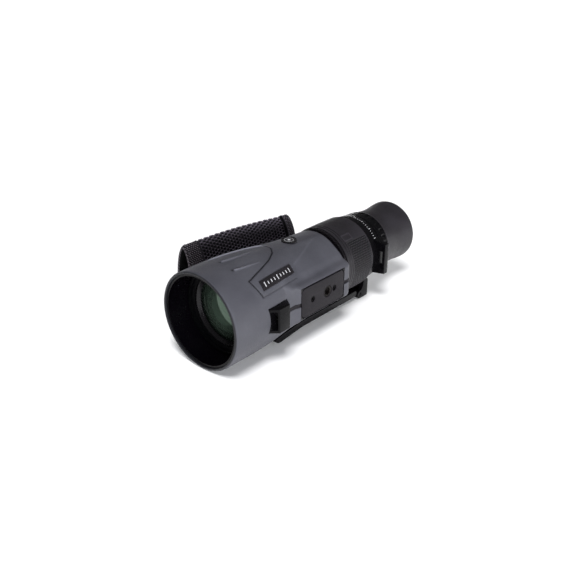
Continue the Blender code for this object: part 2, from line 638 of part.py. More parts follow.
def clip_arm(parts, parent, hinge, inner_cheek):
    half_width = CLIP_HALF_WIDTH - 0.5
    side_line = [(58.3, -34.2), (63.5, -38.2), (92.0, -34.9), (163.9, -34.9)]
    side_line += [(163.9, -29.6), (92.0, -29.9), (70.0, -32.2)]
    bm = prism_mesh(side_line, -half_width, half_width, along_x)
    arm = make_object("clip_arm", bm, parts["plastic"], parent, (0.0,) + hinge)
    knuckle = inner_cheek - 0.4
    root = [(160.0, -34.7), (hinge[0] - 1.0, -34.7), (hinge[0] - 1.0, -32.0), (160.0, -32.0)]
    add(arm, prism_mesh(root, -knuckle, knuckle, along_x))
    add(arm, rod_mesh(hinge, 3.1, (-knuckle, knuckle), "X"))
    cut(arm, envelope(0.9))
    cut(arm, rod_mesh(hinge, HINGE_PIN_RADIUS + 0.25, (-30, 30), "X"))
    cut(arm, box_mesh((-7.5, 165.0, -40), (7.5, 175.0, -25)))


def clip_spring(parts, parent, hinge):
    """Torsion spring wound on the hinge pin."""
    coil_radius = 2.2
    turns = 5
    per_turn = 10
    pitch = 2.4
    curve = bpy.data.curves.new("clip_spring", "CURVE")
    curve.dimensions = "3D"
    curve.bevel_depth = 0.45 * MM
    curve.bevel_resolution = 0
    curve.use_fill_caps = True
    wire = curve.splines.new("POLY")
    count = turns * per_turn + 1
    wire.points.add(count - 1)
    for number in range(count):
        angle = 2 * math.pi * number / per_turn
        across = pitch * (number / per_turn - turns / 2)
        spot = (across, coil_radius * math.cos(angle), coil_radius * math.sin(angle))
        wire.points[number].co = [value * MM for value in spot] + [1.0]
    obj = bpy.data.objects.new("clip_spring", curve)
    bpy.context.scene.collection.objects.link(obj)
    obj.location = (0.0, hinge[0] * MM, hinge[1] * MM)
    obj.parent = parent
    curve.materials.append(parts["steel"])


def between(ends, part):
    """Value at a fraction of the way between two ends."""
    return ends[0] + (ends[1] - ends[0]) * part


def strap_centre(station):
    """Distance of the strap sleeve's middle from the optical axis: it bows in towards its rear end."""
    past = station - SLEEVE_STATIONS[0]
    return STRAP_BOW - 0.016 * past - 0.00062 * past**2


def strap_sleeve(parts, parent):
    """Padded sleeve of the hand strap: a flat tube with a pointed oval section, open at both ends."""
    rows = 7
    around = 20
    pointed = 1.3
    layers = []
    bm = bmesh.new()
    for inset in (0.0, SLEEVE_WALL):
        rings = []
        for row in range(rows + 1):
            part = row / rows
            station = between(SLEEVE_STATIONS, part)
            height = between(SLEEVE_HALF_HEIGHTS, part) - inset
            thickness = between(SLEEVE_HALF_THICKNESSES, part)
            section = []
            for step in range(around):
                angle = 2 * math.pi * step / around
                swing = math.copysign(abs(math.cos(angle)) ** pointed, math.cos(angle))
                across = -strap_centre(station) + (thickness - inset) * swing
                section.append(bm.verts.new((across, station, height * math.sin(angle))))
            rings.append(section)
        layers.append(rings)
    for rings in layers:
        for ahead, behind in zip(rings, rings[1:]):
            bridge(bm, ahead, behind)
    bridge(bm, layers[0][0], layers[1][0])
    bridge(bm, layers[0][-1], layers[1][-1])
    make_object("strap_sleeve", bm, parts["mesh"], parent)


def bridge(bm, ahead, behind):
    """Faces between two rings of points."""
    count = len(ahead)
    for step in range(count):
        after = (step + 1) % count
        bm.faces.new([ahead[step], ahead[after], behind[after], behind[step]])


def arc(centre, radius, start, end, steps):
    """Points of an arc in the (across, station) plane, angles in degrees."""
    angles = [math.radians(start + (end - start) * step / steps) for step in range(steps + 1)]
    return [(centre[0] + radius * math.cos(a), centre[1] + radius * math.sin(a)) for a in angles]


def strap_webbing(parts, parent):
    """Flat webbing: through the front lug, back inside the sleeve and round the rear ear."""
    lug_gap = -39.9
    inside = [(-(strap_centre(station) - 5.0), station) for station in (40.0, 70.0, 100.0, 125.0, 148.0)]
    turn = (inside[0][0] - lug_gap) / 2
    route = [(lug_gap, 62.0)] + arc((lug_gap + turn, 37.0), abs(turn), 0, -180, 6)
    route += inside + [(-33.0, 176.0)]
    route += arc((-35.9, 185.0), 2.9, 0, 180, 4) + [(-40.4, 172.0), (-43.6, 162.0)]
    left = []
    right = []
    for number, point in enumerate(route):
        before = Vector(route[max(number - 1, 0)])
        after = Vector(route[min(number + 1, len(route) - 1)])
        along = (after - before).normalized()
        side = Vector((-along.y, along.x)) * WEBBING_HALF_THICKNESS
        left.append(Vector(point) + side)
        right.append(Vector(point) - side)
    outline = [tuple(point) for point in left + right[::-1]]
    bm = prism_mesh(outline, -WEBBING_HALF_WIDTH, WEBBING_HALF_WIDTH, along_z)
    make_object("strap_webbing", bm, parts["webbing"], parent)


def main():
    clear_scene()
    parts = make_finishes()
    axis = bpy.data.objects.new("optical_axis", None)
    bpy.context.scene.collection.objects.link(axis)
    reach = STRAP_BOW + STRAP_HALF_THICKNESS
    axis.location = ((reach - LUG_REACH) / 2 * MM, -LENGTH / 2 * MM, BELL_RADIUS * MM)
    for make in (
        armour,
        main_tube,
        side_plate,
        front_lugs,
        badges,
        objective,
        prisms,
        rear_barrel,
        focusing,
        lug_ring,
        reticle,
        eyepiece,
        eyecup,
        clip,
        strap_sleeve,
        strap_webbing,
    ):
        make(parts, axis)
    bpy.context.view_layer.update()


main()
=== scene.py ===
"""Looks of a straight spotting scope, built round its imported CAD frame.

Shapes are drawn in millimetres in the scope's own frame, as in the CAD source: the optical axis runs along +Y from
the front rim at station 0, +X is the side with the accessory plate and +Z is up. Angles run from the top towards
+X. Each piece stands for one CAD node: it takes that node's body and material slot from the record.
"""

import json
from math import asin, cos, pi, radians, sin

import bmesh
import bpy
import numpy as np
from mathutils import Matrix, Vector


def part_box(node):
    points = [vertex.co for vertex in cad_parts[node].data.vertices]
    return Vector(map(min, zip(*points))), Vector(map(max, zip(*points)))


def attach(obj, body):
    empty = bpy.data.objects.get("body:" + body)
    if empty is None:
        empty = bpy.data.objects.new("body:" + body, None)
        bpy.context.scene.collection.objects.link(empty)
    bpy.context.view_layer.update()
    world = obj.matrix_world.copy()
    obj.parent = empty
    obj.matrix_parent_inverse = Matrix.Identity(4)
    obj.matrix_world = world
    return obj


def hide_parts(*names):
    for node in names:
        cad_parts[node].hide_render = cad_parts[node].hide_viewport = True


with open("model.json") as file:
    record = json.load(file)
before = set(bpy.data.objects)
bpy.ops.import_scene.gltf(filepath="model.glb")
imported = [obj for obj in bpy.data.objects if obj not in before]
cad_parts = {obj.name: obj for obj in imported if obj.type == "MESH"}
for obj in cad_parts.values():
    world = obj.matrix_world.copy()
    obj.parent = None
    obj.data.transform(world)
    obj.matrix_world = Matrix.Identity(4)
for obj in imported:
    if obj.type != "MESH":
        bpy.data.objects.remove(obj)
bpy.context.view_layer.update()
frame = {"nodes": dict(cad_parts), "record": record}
scene = bpy.context.scene

MM = 0.001
SLOT_OF = {row["node"]: row["material_slot"] for row in frame["record"]["subparts"]}
BODY_OF = {node: body for body, nodes in frame["record"]["behaviour"]["bodies"].items() for node in nodes}
SHELL_LOW, SHELL_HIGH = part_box("rubber_armour")
FRONT_RIM = Vector(((SHELL_LOW.x + SHELL_HIGH.x) / 2, SHELL_LOW.y, (SHELL_LOW.z + SHELL_HIGH.z) / 2))

# The view: the camera's direction from the point that it looks at, in the scope's frame.
CAMERA_AZIMUTH = radians(41.33)
CAMERA_ELEVATION = radians(26.41)
CAMERA_DISTANCE = 535
CAMERA_AIM = (41.9, 50.8, 21)
CAMERA_LENS = 46.63

# Armour.
BODY_END = 131
BODY_PROFILE = [(0, 38.4), (10, 38.6), (31, 38.6), (43, 38.2), (55, 37.2), (67, 35.6), (79, 33.8), (91, 32.5)]
BODY_PROFILE += [(109, 31.2), (BODY_END, 30)]
ARMOUR_WALL = 2.3
TUBE_WALL = 1.4
CLEAR = 0.3
PANEL_RADIUS = 36.5  # turns degrees into millimetres for the lines on the armour
PANEL_LINE = [(72.4, -9), (73.9, -3), (73.6, 5), (68.5, 15), (58.5, 24), (45.3, 31), (27.9, 39), (32.7, 61)]
PANEL_FAINT_LINE = [(32.7, 61), (72.9, 58)]
PANEL_RIDGE = [(24, -17), (42.9, -13), (61.9, -11), (72.4, -9)]
RIBS = [[(25, 0), (34, 2), (55, 2)], [(24.5, 20), (33, 21.5), (49, 22)]]
CREASE = [(78, 41), (93, 32), (114, 17)]
RELIEF = [(PANEL_LINE, -0.8, 0.5), (PANEL_FAINT_LINE, -0.25, 0.6), (PANEL_RIDGE, 0.85, 0.8), (CREASE, 0.14, 1.3)]
# how dark the painted shade on the armour's front lip and bore is
LIP_SHADE = 0.8
NAME_BADGE = {"stations": (35, 73), "edges": ((43.5, 38.5), (55.5, 51.5))}
ROUND_BADGE = 97.8  # station of its middle

# Boss, side plate and what sits in it.
PLATE_FACE = 38.3
PLATE_BACK = 36.5
PLATE_STATIONS = (69, 119.5)
PLATE_HALF_HEIGHT = 12
PLATE_CORNER = 4
POCKET_GAP = 0.9
SOCKET_STATION = 100
SOCKET_RADIUS = 3.175
BUSH_RADIUS = 4.1
BUSH_FOOT = 30.5
THREAD_PITCH = 1.27
PLATE_SCREWS = {"plate_screw_front": 82, "plate_screw_rear": 108}
RIB_GROOVE = 1.7
BOSS_PLAN = [(53.5, 30), (55.5, 33.4), (57.8, 35.6), (60, 36.3), (63.5, 36.8), (66.6, 38.1), (68, PLATE_FACE)]
BOSS_PLAN += [(125, PLATE_FACE), (127.4, 37.6), (128.6, 36.2), (129.2, 33.5)]
BOSS_HALF_HEIGHTS = [(57, 17.2), (61, 16.6), (69, 14.4), (78, 13.9)]
BOSS_SLOPE = radians(18)  # lean of the boss's upper and lower sides
LUG_FOOT_STATIONS = (33, 54.6)
LUG_STATIONS = (39, 50.1)
LUG_HALF_HEIGHT = 9.8
LUG_BASE = 36.5
LUG_REACH = 43.2
LUG_WINDOW = (37.6, 42.1, 7.3)

# Focus ring and grip.
FOCUS_STATIONS = (134.4, 171.4)
GRIP_STATIONS = (136.7, 170.1)
GRIP_RADIUS = 30.8
GRIP_BORE = 30
KNURL_COUNT = 98
KNURL_LENGTH = 2.3
KNURL_DEPTH = 0.55
KNURL_STATIONS = (144.6, 168.4)
GRIP_GROOVES = (139.6, 142.4)
PAD_FROM, PAD_TO = -32, 45  # smooth pad of the grip, repeated half a turn further
GRIP_MARK = (148, 36.5)  # station and degrees of the middle of the mark beside it

# Rear ring, eyepiece and eyecup.
LUG_RING_STATIONS = (172, 184)
EAR_STATIONS = (177.7, 182.7)
EAR_REACH = 37
DIOPTER_STATIONS = (185.2, 196.8)
NOTCH_COUNT = 30
CUP_RIM = 238

# Belt clip.
CLIP_HALF_WIDTH = 20
CLIP_CHEEK = CLIP_HALF_WIDTH - 3.5  # inner side of the bracket's cheeks
HINGE = (168.6, -34.6)
HEEL_BOTTOM = -38.5
CLIP_SCREWS = {"clip_screw_right": 9, "clip_screw_left": -9}
CLIP_SCREW_STATION = 176

# Hand strap.
SLEEVE_STATIONS = (38, 150)
SLEEVE_HALF_HEIGHTS = (32, 28)
SLEEVE_HALF_THICKNESSES = (10, 11)
SLEEVE_BULGE = 1.2
SLEEVE_WALL = 3.8
SLEEVE_POINT = 1.3
STRAP_BOW = 57
SLEEVE_COLUMNS = 46  # holes round the sleeve
HOLE_PITCH = 3.3
HOLE_RADIUS = 1.58
HOLE_RIM = 0.36
HOLE_DEPTH = 1.5
SLEEVE_STITCHES = 64
KNIT_PITCH = 2.2
CUFF = 14.5  # knitted zone behind the sleeve's front end
BINDING = 9  # sewn zone before its rear end
WEBBING_HALF_WIDTH = 6
WEBBING_HALF_THICKNESS = 0.7

SIDES = 192  # round each large turned piece

# Finishes.
BLOTCH = 45  # slow colour changes, in features of 1/m
CREST_HIGHLIGHT = 1.9  # how much lighter a painted highlight on a crest is

# The stage, in metres and watts. The lamps shine at its middle.
FLOOR_REACH = 6
WALL_RADIUS = 5.9
WALL_HEIGHT = 4
LIT_MIDDLE = Vector((0, 0, 0.04))
LAMPS = {
    "front": {"spot": (2.4, -1.49, 0.35), "size": (1.92, 0.66), "power": 127, "colour": (0.96, 0.98, 1)},
    "side": {"spot": (2.4, 0.53, 0.28), "size": (0.72, 1.2), "power": 18.4, "glossy": True},
    "rear": {"spot": (-1.92, 1.8, 0.66), "size": (1.92, 0.96), "power": 63},
}
SUN_DIRECTION = (0.26, -0.34, 0.91)
SUN_ENERGY = 2.8
SUN_ANGLE = radians(22)
SKY_STRENGTH = 0.13


# ---- shapes


def values_of(items, name, width=1, kind=np.float64):
    """A property of a mesh's points, corners or faces, as an array."""
    values = np.zeros(len(items) * width, kind)
    items.foreach_get(name, values)
    return values.reshape(-1, width) if width > 1 else values


def corner_points(mesh):
    return values_of(mesh.loops, "vertex_index", kind=np.int32)


def own_frame(places):
    """Places of the row frame, in millimetres in the scope's own frame."""
    return (places - np.array(FRONT_RIM)) / MM


def polar_places(obj):
    """Station, angle and radius of each point of a piece."""
    across, stations, heights = own_frame(values_of(obj.data.vertices, "co", 3)).T
    return stations, np.arctan2(across, heights), np.hypot(across, heights)


def mark(obj, name, values):
    """Stores a number from 0 to 1 for each point or face corner, which the finishes read."""
    domain = "POINT" if len(values) == len(obj.data.vertices) else "CORNER"
    attribute = obj.data.attributes.new(name, "FLOAT", domain)
    attribute.data.foreach_set("value", np.clip(values, 0, 1).astype(np.float32))


def with_dark_faces(mesh, values, chosen, level=0.95):
    """The points' values carried to the face corners, with the chosen faces set to one level."""
    counts = values_of(mesh.polygons, "loop_total", kind=np.int32)
    return np.where(np.repeat(chosen, counts), level, values[corner_points(mesh)])


def smooth_step(values):
    values = np.clip(values, 0, 1)
    return values * values * (3 - 2 * values)


def hump(gap, width):
    """1 where there is no gap, falling off within a width."""
    return np.exp(-((gap / width) ** 2))


def smooth_max(first, second, reach):
    """The larger of two heights, with a fillet where they are close."""
    near = np.maximum(reach - np.abs(first - second), 0) / reach
    return np.maximum(first, second) + near * near * reach / 4


def soften(outline, radius, steps=4):
    """A closed outline with its corners rounded."""
    points = []
    for number, corner in enumerate(outline):
        here = Vector(corner)
        before = Vector(outline[number - 1]) - here
        after = Vector(outline[(number + 1) % len(outline)]) - here
        reach = min(radius, before.length * 0.48, after.length * 0.48)
        first = here + before.normalized() * reach
        last = here + after.normalized() * reach
        for step in range(steps + 1):
            part = step / steps
            points.append(tuple(first * (1 - part) ** 2 + here * (2 * part * (1 - part)) + last * part**2))
    return points


def join(bm, ahead, behind):
    """Faces between two closed rings of points."""
    for step in range(len(ahead)):
        after = (step + 1) % len(ahead)
        bm.faces.new([ahead[step], ahead[after], behind[after], behind[step]])


def skin(rings, closed=True):
    """Faces over rings of points with equal counts; closed joins the last ring to the first."""
    bm = bmesh.new()
    made = [[bm.verts.new(point) for point in ring] for ring in rings]
    for ahead, behind in zip(made, made[1:]):
        join(bm, ahead, behind)
    if closed:
        join(bm, made[-1], made[0])
    return bm


def circle(station, radius, angles):
    """Points at one station; radius is a number or one for each angle."""
    radius = np.broadcast_to(radius, angles.shape)
    return np.column_stack([radius * np.sin(angles), np.full(angles.shape, station), radius * np.cos(angles)])


def along_x(station, height, depth):
    return (depth, station, height)


def along_y(across, height, depth):
    return (across, depth, height)


def along_z(across, station, depth):
    return (across, station, depth)


def about_axis(height, across, depth):
    return (across, depth, height)


def turned(outline, sides=SIDES, place=about_axis, centre=(0, 0)):
    """A solid turned about a line through the centre, from (depth, radius) points."""
    angles = np.linspace(0, 2 * pi, sides, endpoint=False)
    rings = []
    for depth, radius in outline:
        first, second = centre[0] + radius * np.cos(angles), centre[1] + radius * np.sin(angles)
        rings.append(np.column_stack(place(first, second, np.full(sides, depth))))
    bm = skin(rings, closed=outline[0][1] > 0)
    bmesh.ops.remove_doubles(bm, verts=bm.verts, dist=1e-5)
    return bm


def extruded(outline, low, high, place=along_x):
    """A flat outline drawn out from low to high; place(a, b, depth) gives each corner."""
    bm = bmesh.new()
    ends = [[bm.verts.new(place(a, b, depth)) for a, b in outline] for depth in (low, high)]
    bm.faces.new(ends[0])
    bm.faces.new(ends[1][::-1])
    join(bm, *ends)
    return bm


def box(low, high):
    outline = [(low[1], low[2]), (high[1], low[2]), (high[1], high[2]), (low[1], high[2])]
    return extruded(outline, low[0], high[0])


def arc(centre, radius, start, end, steps):
    """Points on an arc, from one angle in degrees to another."""
    angles = [radians(start + (end - start) * step / steps) for step in range(steps + 1)]
    return [(centre[0] + radius * cos(a), centre[1] + radius * sin(a)) for a in angles]


def rod(centre, radius, reach, place=along_x, sides=48):
    rim = arc(centre, radius, 0, 360, sides)[:-1]
    return extruded(rim, *reach, place)


def rounded_rectangle(first, last, half_height, corner, steps=10):
    outline = []
    for station, height, start in (
        (last - corner, half_height - corner, 0),
        (first + corner, half_height - corner, 90),
        (first + corner, corner - half_height, 180),
        (last - corner, corner - half_height, 270),
    ):
        outline += arc((station, height), corner, start, start + 90, steps)
    return outline


def mesh_of(name, bm):
    mesh = bpy.data.meshes.new(name)
    bm.to_mesh(mesh)
    bm.free()
    return mesh


def merged(*meshes):
    """One bmesh that holds several separate ones."""
    whole = bmesh.new()
    for bm in meshes:
        part = mesh_of("part", bm)
        whole.from_mesh(part)
        bpy.data.meshes.remove(part)
    return whole


def cut(*meshes):
    return ("DIFFERENCE", merged(*meshes))


def add(*meshes):
    return ("UNION", merged(*meshes))


def placed(name, data):
    obj = bpy.data.objects.new(name, data)
    scene.collection.objects.link(obj)
    return obj


def plain_object(name, bm):
    """An object from a bmesh of the scope's frame, placed in the row frame."""
    bmesh.ops.recalc_face_normals(bm, faces=bm.faces)
    for vert in bm.verts:
        vert.co = vert.co * MM + FRONT_RIM
    return placed(name, mesh_of(name, bm))


def rounded(obj, width, segments, angle):
    """Bevels the edges that are sharper than an angle, in millimetres and degrees."""
    rounding = obj.modifiers.new("rounding", "BEVEL")
    rounding.width = width * MM
    rounding.segments = segments
    rounding.limit_method = "ANGLE"
    rounding.angle_limit = radians(angle)


def shaped(obj, steps, bevel=0):
    """Applies Booleans, given as (operation, bmesh), then rounds the sharp edges."""
    tools = []
    for number, (operation, bm) in enumerate(steps):
        tools.append(plain_object(f"tool_{number}", bm))
        modifier = obj.modifiers.new(f"step_{number}", "BOOLEAN")
        modifier.operation = operation
        modifier.solver = "EXACT"
        modifier.object = tools[-1]
    if bevel:
        rounded(obj, bevel, 3, 35)
    graph = bpy.context.evaluated_depsgraph_get()
    made = bpy.data.meshes.new_from_object(obj.evaluated_get(graph))
    obj.modifiers.clear()
    obj.data = made
    for tool in tools:
        bpy.data.objects.remove(tool, do_unlink=True)


def shaded(obj, finish, sharp):
    obj.data.shade_smooth()
    obj.data.set_sharp_from_angle(angle=radians(sharp))
    obj.data.materials.clear()
    obj.data.materials.append(finish)


def finished(obj, node, sharp=40):
    """Shades a piece, gives it the node's finish and slot, and lets it stand for the node on the node's body."""
    shaded(obj, FINISHES[SLOT_OF[node]], sharp)
    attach(obj, BODY_OF[node])
    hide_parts(node)
    return obj


def piece(node, bm, steps=(), bevel=0, sharp=40):
    obj = plain_object(node + "_fine", bm)
    if steps or bevel:
        shaped(obj, steps, bevel)
    return finished(obj, node, sharp)


def trim(name, bm, finish, parent, sharp=40):
    """A small extra piece that goes with another piece."""
    obj = plain_object(name, bm)
    shaded(obj, finish, sharp)
    obj.parent = parent
    obj.matrix_parent_inverse = Matrix.Identity(4)


# ---- finishes


def srgb(*levels):
    """Linear colour from sRGB levels of 0 to 255."""
    linear = (((level / 255 + 0.055) / 1.055) ** 2.4 if level > 10 else level / 3294.6 for level in levels)
    return (*linear, 1)


def set_inputs(node, values):
    """Sets constant values on a node's sockets; a name's underscores stand for spaces."""
    for socket, value in values.items():
        node.inputs[socket.replace("_", " ")].default_value = value


def new_finish(name, **values):
    """A material, its node tree and its Principled shader."""
    material = bpy.data.materials.new(name)
    material.use_nodes = True
    tree = material.node_tree
    shader = tree.nodes["Principled BSDF"]
    set_inputs(shader, values)
    return material, tree, shader


def new_node(tree, kind, **values):
    node = tree.nodes.new("ShaderNode" + kind)
    set_inputs(node, values)
    return node


def link(tree, output, node_input):
    tree.links.new(output, node_input)


def noise(tree, scale, detail=3, roughness=0.5):
    """Noise over the object's own coordinates, in features a scale of 1/m."""
    texture = new_node(tree, "TexNoise", Scale=scale, Detail=detail, Roughness=roughness)
    link(tree, new_node(tree, "TexCoord").outputs["Object"], texture.inputs["Vector"])
    return texture.outputs["Fac"]


def bands(tree, where, direction, scale, distortion):
    """Waves over some coordinates."""
    wave = new_node(tree, "TexWave", Scale=scale, Distortion=distortion)
    wave.bands_direction = direction
    link(tree, where, wave.inputs["Vector"])
    return wave.outputs["Fac"]


def ramp(tree, factor, *stops):
    """A colour ramp over (position, colour) stops."""
    node = new_node(tree, "ValToRGB")
    for element, (position, colour) in zip(node.color_ramp.elements, stops):
        element.position = position
        element.color = colour
    link(tree, factor, node.inputs["Fac"])
    return node.outputs["Color"]


def blotches(tree, factor, dark, light):
    """Noise turned into a slow change between two sRGB colours."""
    return ramp(tree, factor, (0.3, srgb(*dark)), (0.7, srgb(*light)))


def spread(tree, factor, low, high):
    """Maps noise round its middle onto a range of values."""
    node = new_node(tree, "MapRange", From_Min=0.3, From_Max=0.7, To_Min=low, To_Max=high)
    link(tree, factor, node.inputs["Value"])
    return node.outputs["Result"]


def bump(tree, height, distance, strength=1, below=None):
    node = new_node(tree, "Bump", Distance=distance, Strength=strength)
    link(tree, height, node.inputs["Height"])
    if below is not None:
        link(tree, below, node.inputs["Normal"])
    return node.outputs["Normal"]


def tinted(tree, colour, name, tint):
    """A colour that turns to the tint where the mesh's attribute of that name rises to 1."""
    place = new_node(tree, "Attribute")
    place.attribute_name = name
    mix = new_node(tree, "Mix")
    mix.data_type = "RGBA"
    mix.inputs[7].default_value = tint
    link(tree, place.outputs["Fac"], mix.inputs[0])
    link(tree, colour, mix.inputs[6])
    return mix.outputs[2]


def moulded(name, dark, light, roughness, grain, depth, **values):
    """A surface with slow colour change, uneven gloss and fine grain, near black with painted shade and lighter
    with painted highlights where its mesh is marked.
    """
    material, tree, shader = new_finish(name, **values)
    colour = blotches(tree, noise(tree, BLOTCH, 4), dark, light)
    # painted shade: the colour turns near black where the mesh's depth mark rises
    colour = tinted(tree, colour, "depth", srgb(3, 3, 4))
    # painted highlight: the colour turns lighter where the mesh's crest mark rises
    colour = tinted(tree, colour, "painted_highlight_and_knit", srgb(*(min(255, CREST_HIGHLIGHT * level) for level in light)))
    link(tree, colour, shader.inputs["Base Color"])
    link(tree, spread(tree, noise(tree, grain * 0.3, 3), *roughness), shader.inputs["Roughness"])
    link(tree, bump(tree, noise(tree, grain, 2), depth), shader.inputs["Normal"])
    return material


def lens_finish(name, dark, light, **values):
    """Opaque glass whose colour is a painted view of the dark inside behind it, with painted shade where its mesh
    is marked and the faint unevenness of its coating.
    """
    material, tree, shader = new_finish(name, **values)
    colour = blotches(tree, noise(tree, 40, 1), dark, light)
    # painted shade: near black where the glass's depth mark rises
    link(tree, tinted(tree, colour, "depth", srgb(3, 5, 4)), shader.inputs["Base Color"])
    link(tree, spread(tree, noise(tree, 30), 0.03, 0.06), shader.inputs["Roughness"])
    return material


def mesh_finish():
    """Air mesh: yarn that is lighter on its knitted ridges, painted black as shade in its holes, grooves, seams
    and inside, with a knit over it.
    """
    material, tree, shader = new_finish(
        "air_mesh_fabric", Roughness=0.7, Sheen_Weight=0.08, Sheen_Roughness=0.4, Specular_IOR_Level=0.2
    )
    shader.inputs["Sheen Tint"].default_value = srgb(120, 116, 128)
    yarn = noise(tree, 900, 4, 0.6)
    colour = blotches(tree, yarn, (72, 67, 76), (130, 123, 135))
    # lighter on the knit's dashes and dots
    colour = tinted(tree, colour, "painted_highlight_and_knit", srgb(150, 142, 148))
    # painted shade: near black in the holes, grooves, seams and inside
    link(tree, tinted(tree, colour, "depth", srgb(1, 1, 2)), shader.inputs["Base Color"])
    knit = bands(tree, new_node(tree, "UVMap").outputs["UV"], "Y", 28, 1.5)
    fibre = bump(tree, yarn, 2e-4, 0.8)
    link(tree, bump(tree, knit, 2.5e-4, 0.6, fibre), shader.inputs["Normal"])
    return material


def webbing_finish():
    """Nylon webbing with a herringbone-like weave."""
    material, tree, shader = new_finish("nylon_webbing", Sheen_Weight=0.25, Specular_IOR_Level=0.4)
    where = new_node(tree, "TexCoord").outputs["Object"]
    twill, weft = (bands(tree, where, direction, 320, 0.6) for direction in ("DIAGONAL", "Z"))
    link(tree, ramp(tree, twill, (0.1, srgb(13, 13, 14)), (0.9, srgb(34, 33, 36))), shader.inputs["Base Color"])
    link(tree, spread(tree, weft, 0.6, 0.85), shader.inputs["Roughness"])
    weave = bump(tree, twill, 3e-4, 0.7)
    link(tree, bump(tree, weft, 2e-4, 0.6, weave), shader.inputs["Normal"])
    return material


def make_finishes():
    """A finish for each material slot of the record."""
    soft = {"Specular_IOR_Level": 0.34}
    dull = {"Specular_IOR_Level": 0.14}
    metal = {"Metallic": 0.4}
    return {
        "armour": moulded("grey_armour", (57, 57, 63), (66, 66, 72), (0.42, 0.54), 2600, 5e-5, **soft),
        "rubber": moulded("black_rubber", (27, 25, 28), (35, 33, 37), (0.4, 0.52), 2200, 5e-5, **soft),
        "anodised": moulded("black_anodised", (14, 13, 15), (22, 20, 23), (0.2, 0.32), 3000, 1e-5, **metal),
        "plate": moulded("plate_grey", (24, 22, 25), (32, 30, 33), (0.45, 0.6), 3600, 4e-5, **dull),
        "plastic": moulded("black_plastic", (4, 4, 5), (8, 7, 9), (0.2, 0.3), 900, 1e-5, **dull),
        "tube": moulded("tube_black", (2, 1, 3), (4, 3, 5), (0.25, 0.36), 900, 1e-5, **dull),
        "cell": moulded("cell_black", (2, 2, 3), (4, 4, 5), (0.3, 0.45), 900, 1e-5, **dull),
        "steel": moulded("black_steel", (18, 17, 19), (34, 33, 35), (0.24, 0.4), 3000, 1e-5, Metallic=1),
        "brass": moulded("black_brass", (30, 28, 28), (56, 52, 50), (0.24, 0.4), 3000, 1e-5, Metallic=0.9),
        "coated_glass": lens_finish(
            "coated_glass", (47, 58, 50), (56, 68, 59), IOR=1.62, Coat_Weight=0.3, Coat_Roughness=0.04
        ),
        "glass": lens_finish("clear_glass", (12, 14, 14), (18, 21, 21), IOR=1.6),
        "badge": moulded("badge_dark", (20, 18, 21), (30, 28, 31), (0.25, 0.4), 2600, 1e-5),
        "badge_metal": moulded("badge_metal", (16, 15, 17), (28, 26, 29), (0.24, 0.36), 2600, 1e-5, Metallic=0.5),
        "air_mesh": mesh_finish(),
        "webbing": webbing_finish(),
    }


FINISHES = make_finishes()
coated_shader = FINISHES["coated_glass"].node_tree.nodes["Principled BSDF"]
coated_shader.inputs["Specular Tint"].default_value = srgb(150, 215, 165)
PAINT = moulded("mark_paint", (160, 160, 163), (184, 184, 188), (0.5, 0.6), 2600, 2e-5)
THREAD = moulded("sewing_thread", (70, 68, 74), (98, 96, 102), (0.6, 0.8), 3600, 8e-5)


# ---- armour


def body_radius(stations):
    """Smoothed radius of the armour along the axis."""
    places, radii = zip(*BODY_PROFILE)
    shifts = np.linspace(-5, 5, 11)
    return np.mean([np.interp(np.asarray(stations) + shift, places, radii) for shift in shifts], axis=0)


def line_gap(where, corners):
    """Distance along the armour from each (station, angle) to a line of (station, degrees) corners."""
    stations, angles = where
    across = angles * PANEL_RADIUS
    best = np.full(np.broadcast(stations, angles).shape, 1e3)
    flat = [(station, radians(degrees) * PANEL_RADIUS) for station, degrees in corners]
    for start, end in zip(flat, flat[1:]):
        run = (end[0] - start[0], end[1] - start[1])
        part = (stations - start[0]) * run[0] + (across - start[1]) * run[1]
        part = np.clip(part / (run[0] ** 2 + run[1] ** 2), 0, 1)
        gap = np.hypot(stations - start[0] - part * run[0], across - start[1] - part * run[1])
        best = np.minimum(best, gap)
    return best


def line_share(where, corners, width):
    """1 on a line of the armour, falling off within its width."""
    return hump(line_gap(where, corners), width)


def rib_height(where, corners):
    """A moulded rib that is blunt and high at its front end and thins out towards its rear end."""
    part = np.clip((where[0] - corners[0][0]) / (corners[-1][0] - corners[0][0]), 0, 1)
    return (1.05 - 0.7 * part) * line_share(where, corners, 0.95 - 0.45 * part)


def relief(where):
    """Height of the moulded lines on the armour."""
    height = sum(rise * line_share(where, line, width) for line, rise, width in RELIEF)
    return height + sum(rib_height(where, rib) for rib in RIBS)


def in_pocket(mesh):
    """Which faces of the armour are the sides and the floor of the plate's pocket."""
    centres = own_frame(values_of(mesh.polygons, "center", 3))
    away = np.abs(centres[:, 1:] - (sum(PLATE_STATIONS) / 2, 0))
    half = ((PLATE_STATIONS[1] - PLATE_STATIONS[0]) / 2, PLATE_HALF_HEIGHT)
    return (away < np.add(half, POCKET_GAP + 0.03)).all(axis=1) & (centres[:, 0] > PLATE_BACK - 1)


